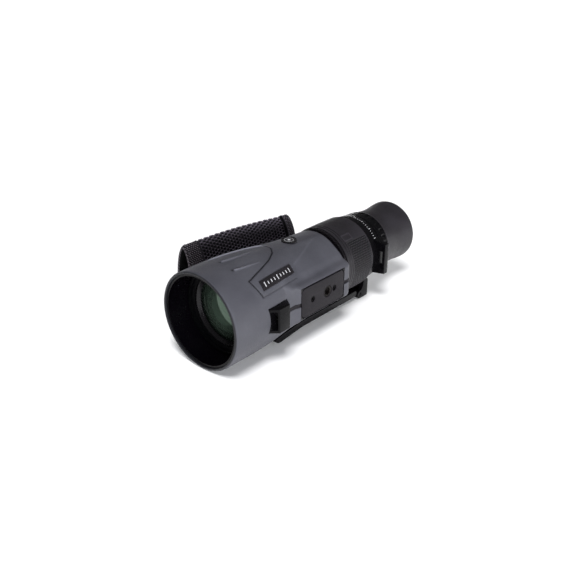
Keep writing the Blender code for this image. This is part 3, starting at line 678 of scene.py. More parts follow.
def mark_armour(shell):
    """Paints shade into the armour's panel lines, front lip, bore, rib feet and plate pocket, and paints
    highlights along its ridge, crease and rib crests.
    """
    stations, angles, radii = polar_places(shell)
    where = (stations, angles)
    # painted shade on the front face of the lip and on the bore inside the armour
    lip = (stations < 0.3) | (radii < body_radius(stations) - 1.2)
    # painted shade along the panel lines
    depths = [0.95 * line_share(where, PANEL_LINE, 0.55), 0.35 * line_share(where, PANEL_FAINT_LINE, 0.6)]
    depths.append(np.where(lip, LIP_SHADE, 0))
    # painted highlights along the ridge and the crease
    painted_highlights = [line_share(where, PANEL_RIDGE, 0.9), 0.07 * line_share(where, CREASE, 0.8)]
    for rib in RIBS:
        station, degrees = rib[0]
        # painted shade at the front foot of each rib, painted highlight on its crest
        foot = [(station - 1.3, degrees - 1), (station - 0.6, degrees)]
        depths.append(0.85 * line_share(where, foot, 0.9))
        painted_highlights.append(0.32 * rib_height(where, rib) ** 2)
    # painted shade: the plate pocket's sides and floor are set near black
    mark(shell, "depth", with_dark_faces(shell.data, np.max(depths, axis=0), in_pocket(shell.data)))
    mark(shell, "painted_highlight_and_knit", np.max(painted_highlights, axis=0))


def boss_radius(station, angles):
    """Distance from the axis to the boss round the side plate, or 0 away from it."""
    face = np.interp(station, *zip(*BOSS_PLAN))
    side = np.maximum(np.sin(angles), 0.2)
    to_face = face / side
    half_height = np.interp(station, *zip(*BOSS_HALF_HEIGHTS))
    reach = face * sin(BOSS_SLOPE) + half_height * cos(BOSS_SLOPE)
    to_slope = reach / (side * sin(BOSS_SLOPE) + np.abs(np.cos(angles)) * cos(BOSS_SLOPE))
    boss = -smooth_max(-to_face, -to_slope, 4.4)
    return np.where(np.sin(angles) > 0.2, boss, 0)


def with_boss(station, angles):
    """Radius of the armour with its boss, whose fillets are wide along its sides and widest behind the badge."""
    shell = body_radius(station)
    wide = smooth_step((np.abs(np.cos(angles)) - 0.33) / 0.27)
    inside = BOSS_PLAN[0][0] < station < BOSS_PLAN[-1][0]
    boss = boss_radius(station, angles) if inside else np.zeros(angles.shape)
    reach = 4.8 + 6 * smooth_step((station - 74) / 10)
    return smooth_max(shell, boss, 1.2 + reach * wide)


def lug_plan(side, gap=0):
    """Plan of a front lug as (across, station), or of the hole for it when a gap is given."""
    plan = [(LUG_BASE, LUG_FOOT_STATIONS[0] - gap), (LUG_REACH, LUG_STATIONS[0] - gap)]
    plan += [(LUG_REACH, LUG_STATIONS[1] + gap), (LUG_BASE, LUG_FOOT_STATIONS[1] + gap)]
    if gap:
        inside = LUG_BASE - 1.5
        plan = [(inside, plan[0][1])] + plan + [(inside, plan[-1][1])]
    return [(side * across, station) for across, station in plan]


def armour_stations():
    close, coarse = 0.45, 1.1
    parts = [[1.6, 3, 6], np.arange(9, 22, 1.5), np.arange(22, 78, close), np.arange(78, 126, coarse)]
    return np.concatenate(parts + [np.arange(126, 130.2, 0.3)])


def armour_shell():
    """Front lip, outside, rear lip and bore, with close points where the lines and badges are."""
    angles = np.radians(np.concatenate([np.arange(-30, 125, 0.5), np.arange(125, 330, 1.5)]))
    front, rear = body_radius(0), body_radius(BODY_END)
    rings = [circle(station, front - drop, angles) for station, drop in ((0, 1.2), (0.25, 0.7), (0.8, 0.2))]
    for station in armour_stations():
        rings.append(circle(station, with_boss(station, angles) + relief((station, angles)), angles))
    for station, drop in ((130.4, 0.15), (130.85, 0.5), (BODY_END, 1)):
        rings.append(circle(station, rear - drop, angles))
    for station in (BODY_END, 109, 91, 79, 67, 55, 43, 31, 10, 0.6):
        rings.append(circle(station, body_radius(station) - ARMOUR_WALL, angles))
    rings.append(circle(0, front - ARMOUR_WALL + 0.4, angles))
    return skin(rings)


def armour():
    reach = LUG_HALF_HEIGHT + CLEAR
    lug_holes = [extruded(lug_plan(side, CLEAR), -reach, reach, along_z) for side in (1, -1)]
    cavity = box((20, 63.7, -12.3), (PLATE_BACK, 127.3, 12.3))
    spans = ((55.3, 68.5), (119, 128.4))
    grooves = [box((20, start, -RIB_GROOVE), (50, end, RIB_GROOVE)) for start, end in spans]
    first, last = PLATE_STATIONS
    edge = (first - POCKET_GAP, last + POCKET_GAP, PLATE_HALF_HEIGHT + POCKET_GAP, PLATE_CORNER + POCKET_GAP)
    pocket = extruded(rounded_rectangle(*edge), PLATE_BACK - 0.4, 50)
    steps = [cut(cavity, *lug_holes), cut(*grooves), cut(pocket)]
    mark_armour(piece("rubber_armour", armour_shell(), steps, sharp=32))


def curved_plate(stations, edges, base, thickness, rows=24, columns=12, inset=0, radius_of=body_radius):
    """A thin plate that follows a round body. edges are the degrees at (front, rear) of its two long edges."""
    bm = bmesh.new()
    rims = []
    for lift, shrink in ((base, 0), (base + thickness, inset)):
        margin = np.degrees(shrink / PANEL_RADIUS)
        grid = []
        for part in np.linspace(0, 1, rows + 1):
            station = stations[0] + shrink + (stations[1] - stations[0] - 2 * shrink) * part
            upper, lower = (start + (end - start) * part for start, end in edges)
            angles = np.radians(np.linspace(upper + margin, lower - margin, columns + 1))
            grid.append([bm.verts.new(point) for point in circle(station, radius_of(station) + lift, angles)])
        for ahead, behind in zip(grid, grid[1:]):
            for step in range(columns):
                bm.faces.new([ahead[step], ahead[step + 1], behind[step + 1], behind[step]])
        upper, lower = [row[0] for row in grid[:0:-1]], [row[-1] for row in grid[:-1]]
        rims.append(grid[0][:-1] + lower + grid[-1][:0:-1] + upper)
    join(bm, *rims)
    return bm


def badges():
    badge = piece("name_badge", curved_plate(**NAME_BADGE, base=0.15, thickness=0.55, inset=0.35), sharp=30)
    bars = []
    for number in range(9):
        start = 38.5 + 3.7 * number
        middle = 49.5 - 0.12 * (start - 35)
        half = 2.9 if number % 4 == 0 else 1.7
        edges = ((middle - half,) * 2, (middle + half,) * 2)
        bars.append(curved_plate((start, start + 0.75), edges, 0.7, 0.06, 2, 4))
    trim("badge_bars", merged(*bars), PAINT, badge)
    disc = raised((-0.3, 0), (-0.3, 6.3), (0.4, 6.3), (0.6, 6.1), (0.6, 5.7), (0.35, 5.55), (0.3, 0))
    base = piece("round_badge", disc, sharp=25)
    ring = raised((0.25, 3.5), (0.4, 3.5), (0.4, 3.8), (0.25, 3.8))
    dot = raised((0.25, 0), (0.25, 1.3), (0.4, 1.1), (0.42, 0))
    trim("round_badge_marks", merged(ring, dot), PAINT, base)


def raised(*outline):
    """A solid turned about the round badge's upright line, from (height, radius) points."""
    foot = body_radius(ROUND_BADGE - 6.3) + CLEAR
    return turned([(foot + height, radius) for height, radius in outline], 64, along_z, (0, ROUND_BADGE))


def main_tube():
    stations = (1.5, 10, 31, 43, 55, 67, 79, 91, 109, BODY_END)
    outer = [(station, body_radius(station) - ARMOUR_WALL - CLEAR) for station in stations]
    inner = [(station, radius - TUBE_WALL) for station, radius in outer][::-1]
    piece("main_tube", turned(outer + inner))


# ---- front


def lens_line(radius, front, rear, steps=14):
    """(station, radius) points of a glass; front and rear are (station at the edge, bulge towards +Y)."""
    parts = [step / steps for step in range(steps + 1)]
    line = [(front[0] + front[1] * (1 - part**2), radius * part) for part in parts]
    return line + [(rear[0] + rear[1] * (1 - part**2), radius * part) for part in reversed(parts)]


def objective():
    cell = [(20, 33.5), (34, 33.5), (34, 32.2), (36, 32.2), (36, 33.5), (41, 33.5), (41, 25)]
    cell += [(39.4, 25), (39.4, 26.8), (26.8, 26.8), (26.8, 28.8), (23, 28.8), (23, 31.4), (20, 31.4)]
    piece("objective_cell", turned(soften(cell, 0.3, 2)))
    holder = [(23.4, 28.5), (26.5, 28.5), (26.5, 25.2), (25.6, 25.2), (23.4, 27.4)]
    piece("objective_retaining_ring", turned(soften(holder, 0.25, 3)))
    lens = piece("objective_crown_lens", turned(lens_line(26.5, (27.4, -3.7), (31.4, 4.1), 40)))
    _, _, radii = polar_places(lens)
    # painted shade in rings, darker towards the glass's edge, for the shaded inside seen through it; the middle
    # stays lighter
    painted_rings = 0.3 * smooth_step((radii - 11.5) / 0.8) + 0.3 * smooth_step((radii - 17.5) / 0.8)
    mark(lens, "depth", painted_rings + 0.2 * smooth_step((radii - 22.5) / 0.8))


def front_lugs():
    for node, side in (("front_lug_near", 1), ("front_lug_far", -1)):
        low, high = sorted((side * LUG_WINDOW[0], side * LUG_WINDOW[1]))
        window = box((low, 20, -LUG_WINDOW[2]), (high, 60, LUG_WINDOW[2]))
        body = extruded(lug_plan(side), -LUG_HALF_HEIGHT, LUG_HALF_HEIGHT, along_z)
        piece(node, body, [cut(window)], bevel=0.5)


# ---- side plate


def side_plate():
    outline = rounded_rectangle(*PLATE_STATIONS, PLATE_HALF_HEIGHT, PLATE_CORNER)
    socket = (SOCKET_STATION, 0)
    screws = [(station, 0) for station in PLATE_SCREWS.values()]
    bore = BUSH_RADIUS + CLEAR
    holes = [rod(socket, bore, (30, 45))] + [rod(spot, 2.1, (PLATE_FACE - 1.4, 45)) for spot in screws]
    sinks = [sink(spot, 2.1, 2.7) for spot in screws] + [sink(socket, bore, BUSH_RADIUS + 0.8)]
    steps = [cut(*holes), cut(*sinks), cut(*(rod(spot, 1.4, (30, 45)) for spot in screws))]
    plate = piece("accessory_plate", extruded(outline, PLATE_BACK, PLATE_FACE), steps, bevel=0.25)
    _, angles, radii = polar_places(plate)
    # painted shade: near black on all of the plate below its face, on its edges, holes and countersinks
    mark(plate, "depth", np.where(radii * np.sin(angles) < PLATE_FACE - 0.2, 0.95, 0))


def sink(centre, low, high):
    """A countersink in the plate's face, for a Boolean."""
    foot, past = PLATE_FACE - 0.6, PLATE_FACE + 2
    line = [(foot, 0), (foot, low), (PLATE_FACE + 0.01, high), (past, high), (past, 0)]
    return turned(line, 48, along_x, centre)


def tripod_bush():
    face = PLATE_FACE - 0.4
    line = [(BUSH_FOOT, 0), (BUSH_FOOT, BUSH_RADIUS), (face, BUSH_RADIUS), (face, 3.5), (face - 0.5, 2.9)]
    depth = face - 1.5
    while depth > BUSH_FOOT + 1.5:
        line += [(depth, 2.75), (depth - THREAD_PITCH * 0.45, SOCKET_RADIUS)]
        line.append((depth - THREAD_PITCH * 0.55, SOCKET_RADIUS))
        depth -= THREAD_PITCH
    line += [(BUSH_FOOT + 0.8, 2.7), (BUSH_FOOT + 0.8, 0)]
    piece("tripod_bush", turned(line, 48, along_x, (SOCKET_STATION, 0)), sharp=35)


def plate_screws():
    head = PLATE_FACE - 0.8
    line = [(33.7, 0), (33.7, 1.1), (head - 0.5, 1.1), (head - 0.5, 1.85), (head - 0.15, 1.85), (head, 1.55)]
    line.append((head, 0))
    for node, station in PLATE_SCREWS.items():
        hexagon = rod((station, 0), 1.1, (head - 0.45, head + 1), along_x, 6)
        piece(node, turned(line, 32, along_x, (station, 0)), [cut(hexagon)])


# ---- focus ring


def focus_ring():
    first, last = FOCUS_STATIONS
    line = [(first, 28.5), (first, 29.8), (first + 0.5, 30.2), (first + 2, 30.2), (first + 2, 29.7)]
    line += [(last - 1, 29.7), (last - 1, 30), (last, 30), (last, 28.5)]
    piece("focus_ring", turned(soften(line, 0.3, 3)))


def off_pad(degrees, middle):
    """Degrees between each angle and a place that is repeated half a turn further."""
    return np.abs((degrees - middle + 90) % 180 - 90)


def pad_share(degrees, feather=1.2):
    """1 on the grip's two smooth pads and 0 on its knurl."""
    return smooth_step(((PAD_TO - PAD_FROM) / 2 - off_pad(degrees, (PAD_FROM + PAD_TO) / 2)) / feather + 0.5)


def grip_height(station, angles):
    """Height of the knurl and of the pads' raised marks above the root of the grip's pattern."""
    turn = angles * KNURL_COUNT
    ribs = 0.5 + 0.5 * np.cos(turn)
    notches = 0.5 + 0.5 * np.cos(2 * pi * station / KNURL_LENGTH + turn / 2)
    first, last = KNURL_STATIONS
    inside = smooth_step(min(station - first, last - station) / 0.5 + 0.5)
    knurl = smooth_step(1.6 * ribs * (0.12 + 0.88 * notches)) * inside + 0.75 * (1 - inside)
    degrees = np.degrees(angles)
    share = pad_share(degrees)
    plain = 0.8 * (1 - share) * (1 - inside) + share * 0.8
    height = share * plain + (1 - share) * knurl + raised_marks(station, degrees)
    return height - 0.75 * hump(min(abs(station - place) for place in GRIP_GROOVES), 0.45)


def raised_marks(station, degrees):
    """Rectangular outline moulded beside each pad's edge."""
    away, along = off_pad(degrees, GRIP_MARK[1]), abs(station - GRIP_MARK[0])
    sides = hump((away - 5) * radians(GRIP_RADIUS), 0.4) * smooth_step((5.6 - along) / 0.6)
    ends = hump(along - 5, 0.4) * smooth_step((5.8 - away) / 0.6)
    return 0.55 * np.maximum(sides, ends)


def focus_grip():
    angles = np.linspace(0, 2 * pi, KNURL_COUNT * 8, endpoint=False)
    first, last = GRIP_STATIONS
    top = GRIP_RADIUS - KNURL_DEPTH
    rings = [circle(first, GRIP_BORE, angles), circle(first, top - 0.1, angles)]
    for station in np.linspace(first + 0.25, last - 0.25, 112):
        rings.append(circle(station, top + KNURL_DEPTH * grip_height(station, angles), angles))
    rings += [circle(last, top - 0.1, angles), circle(last, GRIP_BORE, angles)]
    grip = piece("focus_grip", skin(rings), sharp=60)
    _, _, radii = polar_places(grip)
    # painted shade: darker the lower the grip's surface lies, near black in its grooves
    mark(grip, "depth", 0.9 * smooth_step((GRIP_RADIUS - 0.12 - radii) / (KNURL_DEPTH * 0.75)))
    # painted highlight on the grip's highest crests
    mark(grip, "painted_highlight_and_knit", 0.3 * smooth_step((radii - GRIP_RADIUS + 0.1) / 0.2))


def rear_barrel():
    line = [(121, 25.4), (125, 25.4), (125, 24.2), (127, 24.2), (127, 25.4), (131.3, 25.4), (131.3, 28.2)]
    line += [(134, 28.2), (134, 26.6), (180, 26.6), (180, 23.9), (137, 23.9), (137, 23), (121, 23)]
    slot = box((-1.6, 147.3, 20), (1.6, 158.7, 30))
    piece("rear_barrel", turned(line), [cut(slot)])


# ---- rear ring and eyepiece


def lug_ring():
    first, last = LUG_RING_STATIONS
    line = [(first, 26.9), (first, 29.4), (178, 29.1), (last, 28.5), (last, 24.3), (180.4, 24.3), (180.4, 26.9)]
    root = 28
    ear_angle, pad_angle = (np.degrees(asin(half / root)) for half in (15.4, 13))
    pad = [(-13, -32.5), (13, -32.5)] + arc((0, 0), root, pad_angle - 90, -pad_angle - 90, 16)
    extras, slots = [extruded(pad, 173, 180, along_y)], []
    for side, middle in ((1, 0), (-1, 180)):
        tip = [(side * EAR_REACH, 13.3), (side * EAR_REACH, -13.3)]
        curve = arc((0, 0), root, middle - side * ear_angle, middle + side * ear_angle, 24)
        extras.append(extruded(tip + curve, *EAR_STATIONS, along_y))
        low, high = sorted((side * 31.5, side * 34.5))
        slots.append(box((low, 170, -6.5), (high, 190, 6.5)))
        slots.append(rod((side * 9, CLIP_SCREW_STATION), 1.4, (-40, -27.6), along_z, 24))
    ring = piece("rear_lug_ring", turned(line), [add(*extras), cut(*slots)], bevel=0.35)
    ring_scale(ring)


def ring_scale(ring):
    """Plain ticks round the rear ring, in place of its lettering."""
    ticks = []
    for number in range(-8, 9):
        middle, half = 21 + 4.5 * number, np.degrees(0.45 / 2 / 29)
        length = 2.2 if number % 4 == 0 else 1.2
        edges = ((middle - half,) * 2, (middle + half,) * 2)
        ticks.append(curved_plate((178.9, 178.9 + length), edges, -0.02, 0.07, 1, 3, radius_of=lug_ring_radius))
    trim("ring_scale", merged(*ticks), PAINT, ring)


def lug_ring_radius(station):
    return np.interp(station, (172, 178, 184), (29.4, 29.1, 28.5))


def diopter_ring():
    """Ring with shallow notches round it."""
    first, last = DIOPTER_STATIONS
    angles = np.linspace(0, 2 * pi, NOTCH_COUNT * 14, endpoint=False)
    wave = np.cos(angles * NOTCH_COUNT)
    notch = smooth_step((wave - 0.45) / 0.35)
    rings = [circle(first, 24.1, angles), circle(first, 27.7, angles), circle(first + 0.25, 28.1, angles)]
    rings.append(circle(first + 0.6, 28.2, angles))
    for station in np.linspace(first + 2, last - 0.4, 22):
        ends = min((station - first - 5.2) / 0.6, (last - 0.9 - station) / 0.6)
        depth = 0.7 * notch * smooth_step(ends)
        outer = 28.2 - 0.5 * (station - first) / (last - first)
        rings.append(circle(station, outer - depth, angles))
    rings += [circle(last, 27.4, angles), circle(last, 24.1, angles)]
    piece("diopter_ring", skin(rings), sharp=50)


def eyecup():
    outside = [(197.2, 27.5), (199, 27), (205, 26.2), (214, 25.3), (223, 25.6), (229, 26.3), (235, 26.8)]
    outside += [(237.2, 26.8), (CUP_RIM, 26)]
    flare = soften(outside, 8, 8)[9:-9]  # without the two ends, which stay sharp
    rim = [(CUP_RIM - 0.25, 26.4), (CUP_RIM, 25.8), (CUP_RIM, 25.2), (CUP_RIM - 0.4, 24.7)]
    well = [(226, 22.3), (217.5, 20), (216, 19), (215.6, 14.5), (213.6, 14.5), (213.6, 24), (197.2, 24)]
    piece("eyecup", turned(outside[:1] + flare + rim + well), sharp=35)


def eyepiece():
    bore = 17.9
    line = [(179.2, 15.5), (179.2, 23.6), (213, 23.6), (213, bore), (182.6, bore), (182.6, 15.5)]
    piece("eyepiece_barrel", turned(soften(line, 0.25, 2)))
    holder = [(209.6, 13), (209.6, 17.5), (212.6, 17.5), (212.6, 14.2), (211.8, 13)]
    piece("eyepiece_retainer", turned(soften(holder, 0.3, 3), 128))
    piece("eye_lens", turned(lens_line(17.5, (204, -1), (208.6, 1.6)), 128))


# ---- belt clip


def envelope(gap):
    """Solid of the body and its rings grown by a gap, to shape the clip under them."""
    line = [(40, 0)]
    line += [(station, body_radius(station) + gap) for station in np.arange(40, BODY_END + 1, 6.5)]
    line += [(BODY_END, 30 + gap), (171.7, GRIP_RADIUS + gap), (171.7, 29.4 + gap), (190, 29.4 + gap), (190, 0)]
    return turned(line)


def clip_bracket():
    heel = [(164.9, -35), (165.5, -37.2), (167.3, HEEL_BOTTOM), (178, HEEL_BOTTOM), (179, -37.5)]
    heel += [(179, -22.6), (173.6, -22.6), (172.2, -28), (170.8, -30.8), (168.4, -31.4), (165.9, -32.4)]
    inner = box((-CLIP_CHEEK, 160, -45), (CLIP_CHEEK, 172.4, -20))
    seat = box((-13.3, 170, -32.8), (13.3, 185, -20))
    spots = [(across, CLIP_SCREW_STATION) for across in CLIP_SCREWS.values()]
    sinks = [rod(spot, 2.5, (-45, -36.4), along_z, 32) for spot in spots]
    shanks = [rod(spot, 1.4, (-45, -25), along_z, 32) for spot in spots]
    steps = [cut(envelope(0.4)), cut(inner), cut(seat), cut(*sinks), cut(*shanks)]
    steps.append(cut(rod(HINGE, 1.6, (-30, 30), along_x, 32)))
    body = extruded(soften(heel, 1.2, 3), -CLIP_HALF_WIDTH, CLIP_HALF_WIDTH)
    piece("clip_bracket", body, steps, bevel=0.4)


def clip_arm():
    half_width, knuckle = CLIP_HALF_WIDTH - 0.5, CLIP_CHEEK - 0.4
    side = [(58.3, -34.2), (63.5, -38.2), (92, -34.9), (163.9, -34.9), (163.9, -29.6), (92, -29.9), (70, -32.2)]
    root = box((-knuckle, 160, -34.7), (knuckle, 167.6, -32))
    steps = [add(root), add(rod(HINGE, 3.1, (-knuckle, knuckle), along_x, 40)), cut(envelope(0.9))]
    steps.append(cut(rod(HINGE, 1.55, (-30, 30), along_x, 32)))
    steps.append(cut(box((-7.5, 165, -40), (7.5, 175, -25))))
    piece("clip_arm", extruded(soften(side, 3, 4), -half_width, half_width), steps, bevel=0.45)


def clip_fasteners():
    piece("clip_pin", rod(HINGE, 1.3, (-19.6, 19.6), along_x, 32), bevel=0.2)
    line = [(-28, 0), (-28, 1.1), (-36.7, 1.1), (-36.7, 2.2), (-37.9, 2.2), (-38.1, 1.95), (-38.1, 0)]
    for node, across in CLIP_SCREWS.items():
        spot = (across, CLIP_SCREW_STATION)
        piece(node, turned(line, 32, along_z, spot), [cut(rod(spot, 1.15, (-40, -37.5), along_z, 6))])


# ---- hand strap


def strap_centre(station):
    past = station - SLEEVE_STATIONS[0]
    return STRAP_BOW - 0.016 * past - 0.00062 * past**2


def along_sleeve(part, ends):
    return ends[0] + (ends[1] - ends[0]) * part


def section(station, turns, inset):
    """Points round the sleeve at one station; inset is a number or one for each turn."""
    part = (station - SLEEVE_STATIONS[0]) / (SLEEVE_STATIONS[1] - SLEEVE_STATIONS[0])
    height = along_sleeve(part, SLEEVE_HALF_HEIGHTS) - inset + SLEEVE_BULGE * sin(pi * part)
    thickness = along_sleeve(part, SLEEVE_HALF_THICKNESSES) - inset
    swing = np.sign(np.cos(turns)) * np.abs(np.cos(turns)) ** SLEEVE_POINT
    across = thickness * swing - strap_centre(station)
    return np.column_stack([across, np.full(turns.shape, station), height * np.sin(turns)])


def even_turns(count):
    """Parameters round the sleeve's section that are evenly spaced along its edge."""
    turns = np.linspace(0, 2 * pi, 4001)
    line = section(SLEEVE_STATIONS[0], turns, 0)
    run = np.concatenate([[0], np.cumsum(np.linalg.norm(np.diff(line, axis=0), axis=1))])
    return np.interp(np.linspace(0, run[-1], count, endpoint=False), run, turns), run[-1]


def hole_depth(station, along, around):
    """Depth from 0 to 1 of the mesh's holes round the sleeve, and the holed zone's own share."""
    row_pitch = HOLE_PITCH * 0.87
    row = (station - SLEEVE_STATIONS[0]) / row_pitch
    pitch = around / SLEEVE_COLUMNS
    depth = np.zeros(along.shape)
    for near in (row // 1, row // 1 + 1):
        shift = 0.5 * (near % 2) + 0.125
        cell = (along / pitch - shift + 0.5) % 1 - 0.5
        gap = np.hypot(cell * pitch, (row - near) * row_pitch * 0.85)
        depth = np.maximum(depth, smooth_step((HOLE_RADIUS - gap) / HOLE_RIM))
    start, end = SLEEVE_STATIONS
    inside = smooth_step(min(station - start - CUFF, end - BINDING - station) / 0.8)
    return depth * inside, inside


def knitted(station, along, around):
    """Light dashes of the knitted rows in the cuff and the binding, and the zones' own share."""
    start, end = SLEEVE_STATIONS
    in_cuff = smooth_step((start + CUFF - 1.2 - station) / 0.8)
    in_binding = smooth_step((station - end + BINDING - 2.2) / 0.8)
    turn = 2 * pi * along / around * SLEEVE_COLUMNS * 2
    rows = 0.5 + 0.5 * np.cos(turn)
    dashes = 0.5 + 0.5 * np.cos(2 * pi * station / KNIT_PITCH + turn / 2)
    zone = max(in_cuff, in_binding)
    return zone * rows**2 * dashes, zone


def sleeve_row(station, turns, along, around):
    """A ring of the sleeve's outer side, with its painted shade and the light of its knitted dashes."""
    start, end = SLEEVE_STATIONS
    hem = 0.7 * hump(min(station - start, end - station), 0.7)
    hole, holed = hole_depth(station, along, around)
    dashes, zone = knitted(station, along, around)
    band = -0.4 * smooth_step((station - end + BINDING) / 0.8)
    seam = 0.8 * hump(end - BINDING - station, 0.7) + 0.45 * hump(station - start - CUFF, 0.6)
    inset = 0.45 + hem + band + seam + HOLE_DEPTH * hole + 0.45 * (zone - dashes)
    plain = max(0, 1 - zone - holed)
    # painted shade: black in the holes, in the grooves between the knitted dashes, at the seams and beside them
    depth = np.clip(hole + 1.1 * (zone - dashes) + 1.2 * seam + 0.8 * plain, 0, 1)
    return section(station, turns, inset), depth, 0.8 * dashes


def sleeve_rows(turns, around):
    """The sleeve's rings with their painted shade and knit light: outer side, rear edge, inner side, front edge.
    """
    along = np.linspace(0, around, len(turns), endpoint=False)
    start, end = SLEEVE_STATIONS
    rows = [sleeve_row(station, turns, along, around) for station in np.linspace(start, end, 236)]
    dots = 0.5 + 0.5 * np.cos(2 * pi * along / around * SLEEVE_COLUMNS)
    edge = [(0, 1.5, 0.1), (0, 2, 1), (0, 2.5, 0.1), (0, 3, 0.8), (0.1, 3.5, 0.1)]
    ends = [(end - drop, inset, share) for drop, inset, share in edge]
    ends += [(start + drop, inset, share) for drop, inset, share in edge[::-1]]
    # painted shade on the end edges, between the knit's light dots
    ends = [(section(place, turns, inset), 0.9 - 0.9 * share * dots, share * dots) for place, inset, share in ends]
    inner = np.linspace(end - 0.2, start + 0.2, 16)
    # painted shade: the sleeve's inner side is black
    inner = [(section(place, turns, SLEEVE_WALL), np.ones(len(turns)), np.zeros(len(turns))) for place in inner]
    return along, rows + ends[: len(edge)] + inner + ends[len(edge) :]


def strap_sleeve():
    turns, around = even_turns(SLEEVE_COLUMNS * 8)
    along, rows = sleeve_rows(turns, around)
    rings, depths, knit_light = zip(*rows)
    sleeve = plain_object("strap_sleeve_fine", skin(rings))
    # painted shade, and the knit's light dashes and dots
    mark(sleeve, "depth", np.concatenate(depths))
    mark(sleeve, "painted_highlight_and_knit", np.concatenate(knit_light))
    flat = np.column_stack([np.tile(along, len(rings)), np.concatenate(rings)[:, 1]]) * 0.01
    layer = sleeve.data.uv_layers.new(name="UVMap")
    layer.data.foreach_set("uv", flat[corner_points(sleeve.data)].astype(np.float32).ravel())
    finished(sleeve, "strap_sleeve", sharp=70)
    stitches(sleeve)


def stitches(sleeve):
    """Two rows of stitches round the rear binding and one round the front cuff."""
    start, end = SLEEVE_STATIONS
    turns, _ = even_turns(SLEEVE_STITCHES * 2)
    made = []
    for station, inset in ((end - 2.4, 0.05), (end - BINDING + 2, 0.05), (start + 2.2, 0.3)):
        line = section(station, turns, inset)
        for number in range(0, len(turns), 2):
            made.append(stitch(Vector(line[number]), Vector(line[number + 1])))
    trim("strap_stitches", merged(*made), THREAD, sleeve, sharp=180)


def stitch(start, end):
    """A short rounded thread between two points."""
    run, across = end - start, Vector((0, 1, 0))
    up = run.cross(across).normalized()
    rings = []
    for part, radius in ((0, 0.1), (0.2, 0.26), (0.8, 0.26), (1, 0.1)):
        rings.append([start + run * part + across * a + up * b for a, b in arc((0, 0), radius, 0, 360, 6)[:-1]])
    bm = skin(rings, closed=False)
    bmesh.ops.holes_fill(bm, edges=[edge for edge in bm.edges if edge.is_boundary], sides=8)
    return bm


def strap_webbing():
    lug_gap = -39.9
    inside = [(-(strap_centre(station) - 5), station) for station in (40, 70, 100, 125, 148)]
    turn = (inside[0][0] - lug_gap) / 2
    route = [(lug_gap, 62), (lug_gap, 50)] + arc((lug_gap + turn, 37), abs(turn), 0, -180, 16)
    route += inside + [(-33, 176)]
    route += arc((-35.9, 185), 2.9, 0, 180, 12) + [(-40.4, 172), (-43.6, 162)]
    left, right = [], []
    for number, point in enumerate(route):
        before = Vector(route[max(number - 1, 0)])
        after = Vector(route[min(number + 1, len(route) - 1)])
        direction = (after - before).normalized()
        side = Vector((-direction.y, direction.x)) * WEBBING_HALF_THICKNESS
        left.append(tuple(Vector(point) + side))
        right.append(tuple(Vector(point) - side))
    bm = extruded(left + right[::-1], -WEBBING_HALF_WIDTH, WEBBING_HALF_WIDTH, along_z)
    piece("strap_webbing", bm, bevel=0.3, sharp=50)


# ---- CAD nodes that stay


def keep_nodes():
    """The CAD nodes that still show get their finish and softly rounded edges."""
    for name, obj in frame["nodes"].items():
        if obj.hide_render:
            continue
        obj.data.materials.clear()
        obj.data.materials.append(FINISHES[SLOT_OF[name]])
        weld = obj.modifiers.new("weld", "WELD")
        weld.merge_threshold = 1e-6
        rounded(obj, 0.15, 2, 50)


# ---- stage, light and camera


def faced(obj, back):
    """Turns an object so that its back points in a direction."""
    obj.rotation_mode = "QUATERNION"
    obj.rotation_quaternion = Vector(back).to_track_quat("Z", "Y")


def area_light(name, spot, size, power, colour=(1, 1, 1), glossy=False):
    data = bpy.data.lights.new(name, "AREA")
    data.shape = "RECTANGLE"
    data.size, data.size_y = size
    data.energy = power
    data.color = colour
    lamp = placed(name, data)
    lamp.location = spot
    lamp.visible_glossy = glossy  # a broad reflection would grey the black parts
    faced(lamp, Vector(spot) - LIT_MIDDLE)


def sun_light():
    data = bpy.data.lights.new("overhead", "SUN")
    data.energy = SUN_ENERGY
    data.angle = SUN_ANGLE
    lamp = placed("overhead", data)
    lamp.visible_glossy = False
    faced(lamp, SUN_DIRECTION)


def sky():
    world = bpy.data.worlds.new("studio")
    world.use_nodes = True
    set_inputs(world.node_tree.nodes["Background"], {"Color": (1, 1, 1, 1), "Strength": SKY_STRENGTH})
    scene.world = world


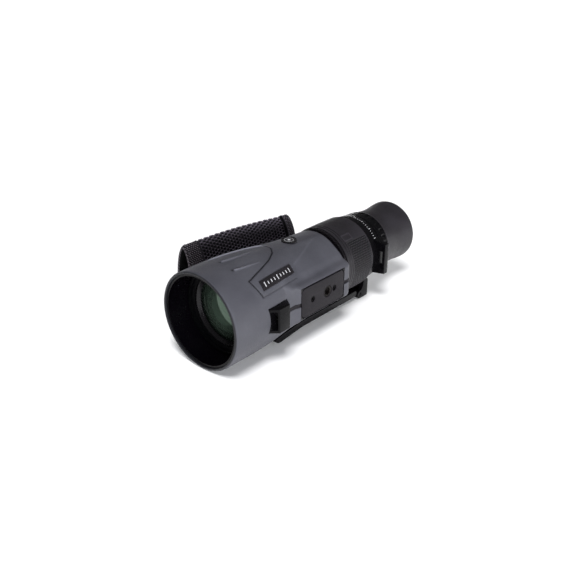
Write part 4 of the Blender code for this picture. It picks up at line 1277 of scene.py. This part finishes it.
def backdrop():
    """A pale wall far behind everything, which only the camera sees."""
    bm = bmesh.new()
    bmesh.ops.create_cone(bm, segments=64, radius1=WALL_RADIUS, radius2=WALL_RADIUS, depth=WALL_HEIGHT)
    wall = placed("backdrop", mesh_of("backdrop", bm))
    wall.location.z = WALL_HEIGHT / 2 - 0.01
    black = (0, 0, 0, 1)
    material, tree, shader = new_finish("pale_wall", Specular_IOR_Level=0, Emission_Strength=1, Base_Color=black)
    link(tree, blotches(tree, noise(tree, 0.2), (253, 253, 254), (255, 255, 255)), shader.inputs["Emission Color"])
    wall.data.materials.append(material)
    wall.visible_diffuse = False
    wall.visible_glossy = False
    wall.visible_transmission = False
    wall.visible_shadow = False


def lay_floor():
    bm = bmesh.new()
    bmesh.ops.create_grid(bm, x_segments=1, y_segments=1, size=FLOOR_REACH)
    floor = placed("floor", mesh_of("floor", bm))
    floor.location.z = -0.0002
    material, tree, shader = new_finish("pale_floor", Specular_IOR_Level=0.1)
    link(tree, blotches(tree, noise(tree, 3), (246, 246, 247), (250, 250, 251)), shader.inputs["Base Color"])
    link(tree, spread(tree, noise(tree, 5), 0.85, 0.95), shader.inputs["Roughness"])
    floor.data.materials.append(material)


def stage():
    lay_floor()
    backdrop()
    sky()
    sun_light()
    for name, lamp in LAMPS.items():
        area_light(name, **lamp)
    scene.view_settings.view_transform = "Standard"


def camera():
    level = cos(CAMERA_ELEVATION)
    back = (sin(CAMERA_AZIMUTH) * level, -cos(CAMERA_AZIMUTH) * level, sin(CAMERA_ELEVATION))
    data = bpy.data.cameras.new("camera")
    data.lens = CAMERA_LENS
    data.sensor_width = 36
    data.clip_start = 0.01
    obj = placed("camera", data)
    obj.location = Vector(CAMERA_AIM) * MM + FRONT_RIM + Vector(back) * CAMERA_DISTANCE * MM
    faced(obj, back)
    scene.camera = obj


camera()
armour()
badges()
main_tube()
objective()
front_lugs()
side_plate()
tripod_bush()
plate_screws()
focus_ring()
focus_grip()
rear_barrel()
lug_ring()
diopter_ring()
eyecup()
eyepiece()
clip_bracket()
clip_arm()
clip_fasteners()
strap_sleeve()
strap_webbing()
keep_nodes()
stage()
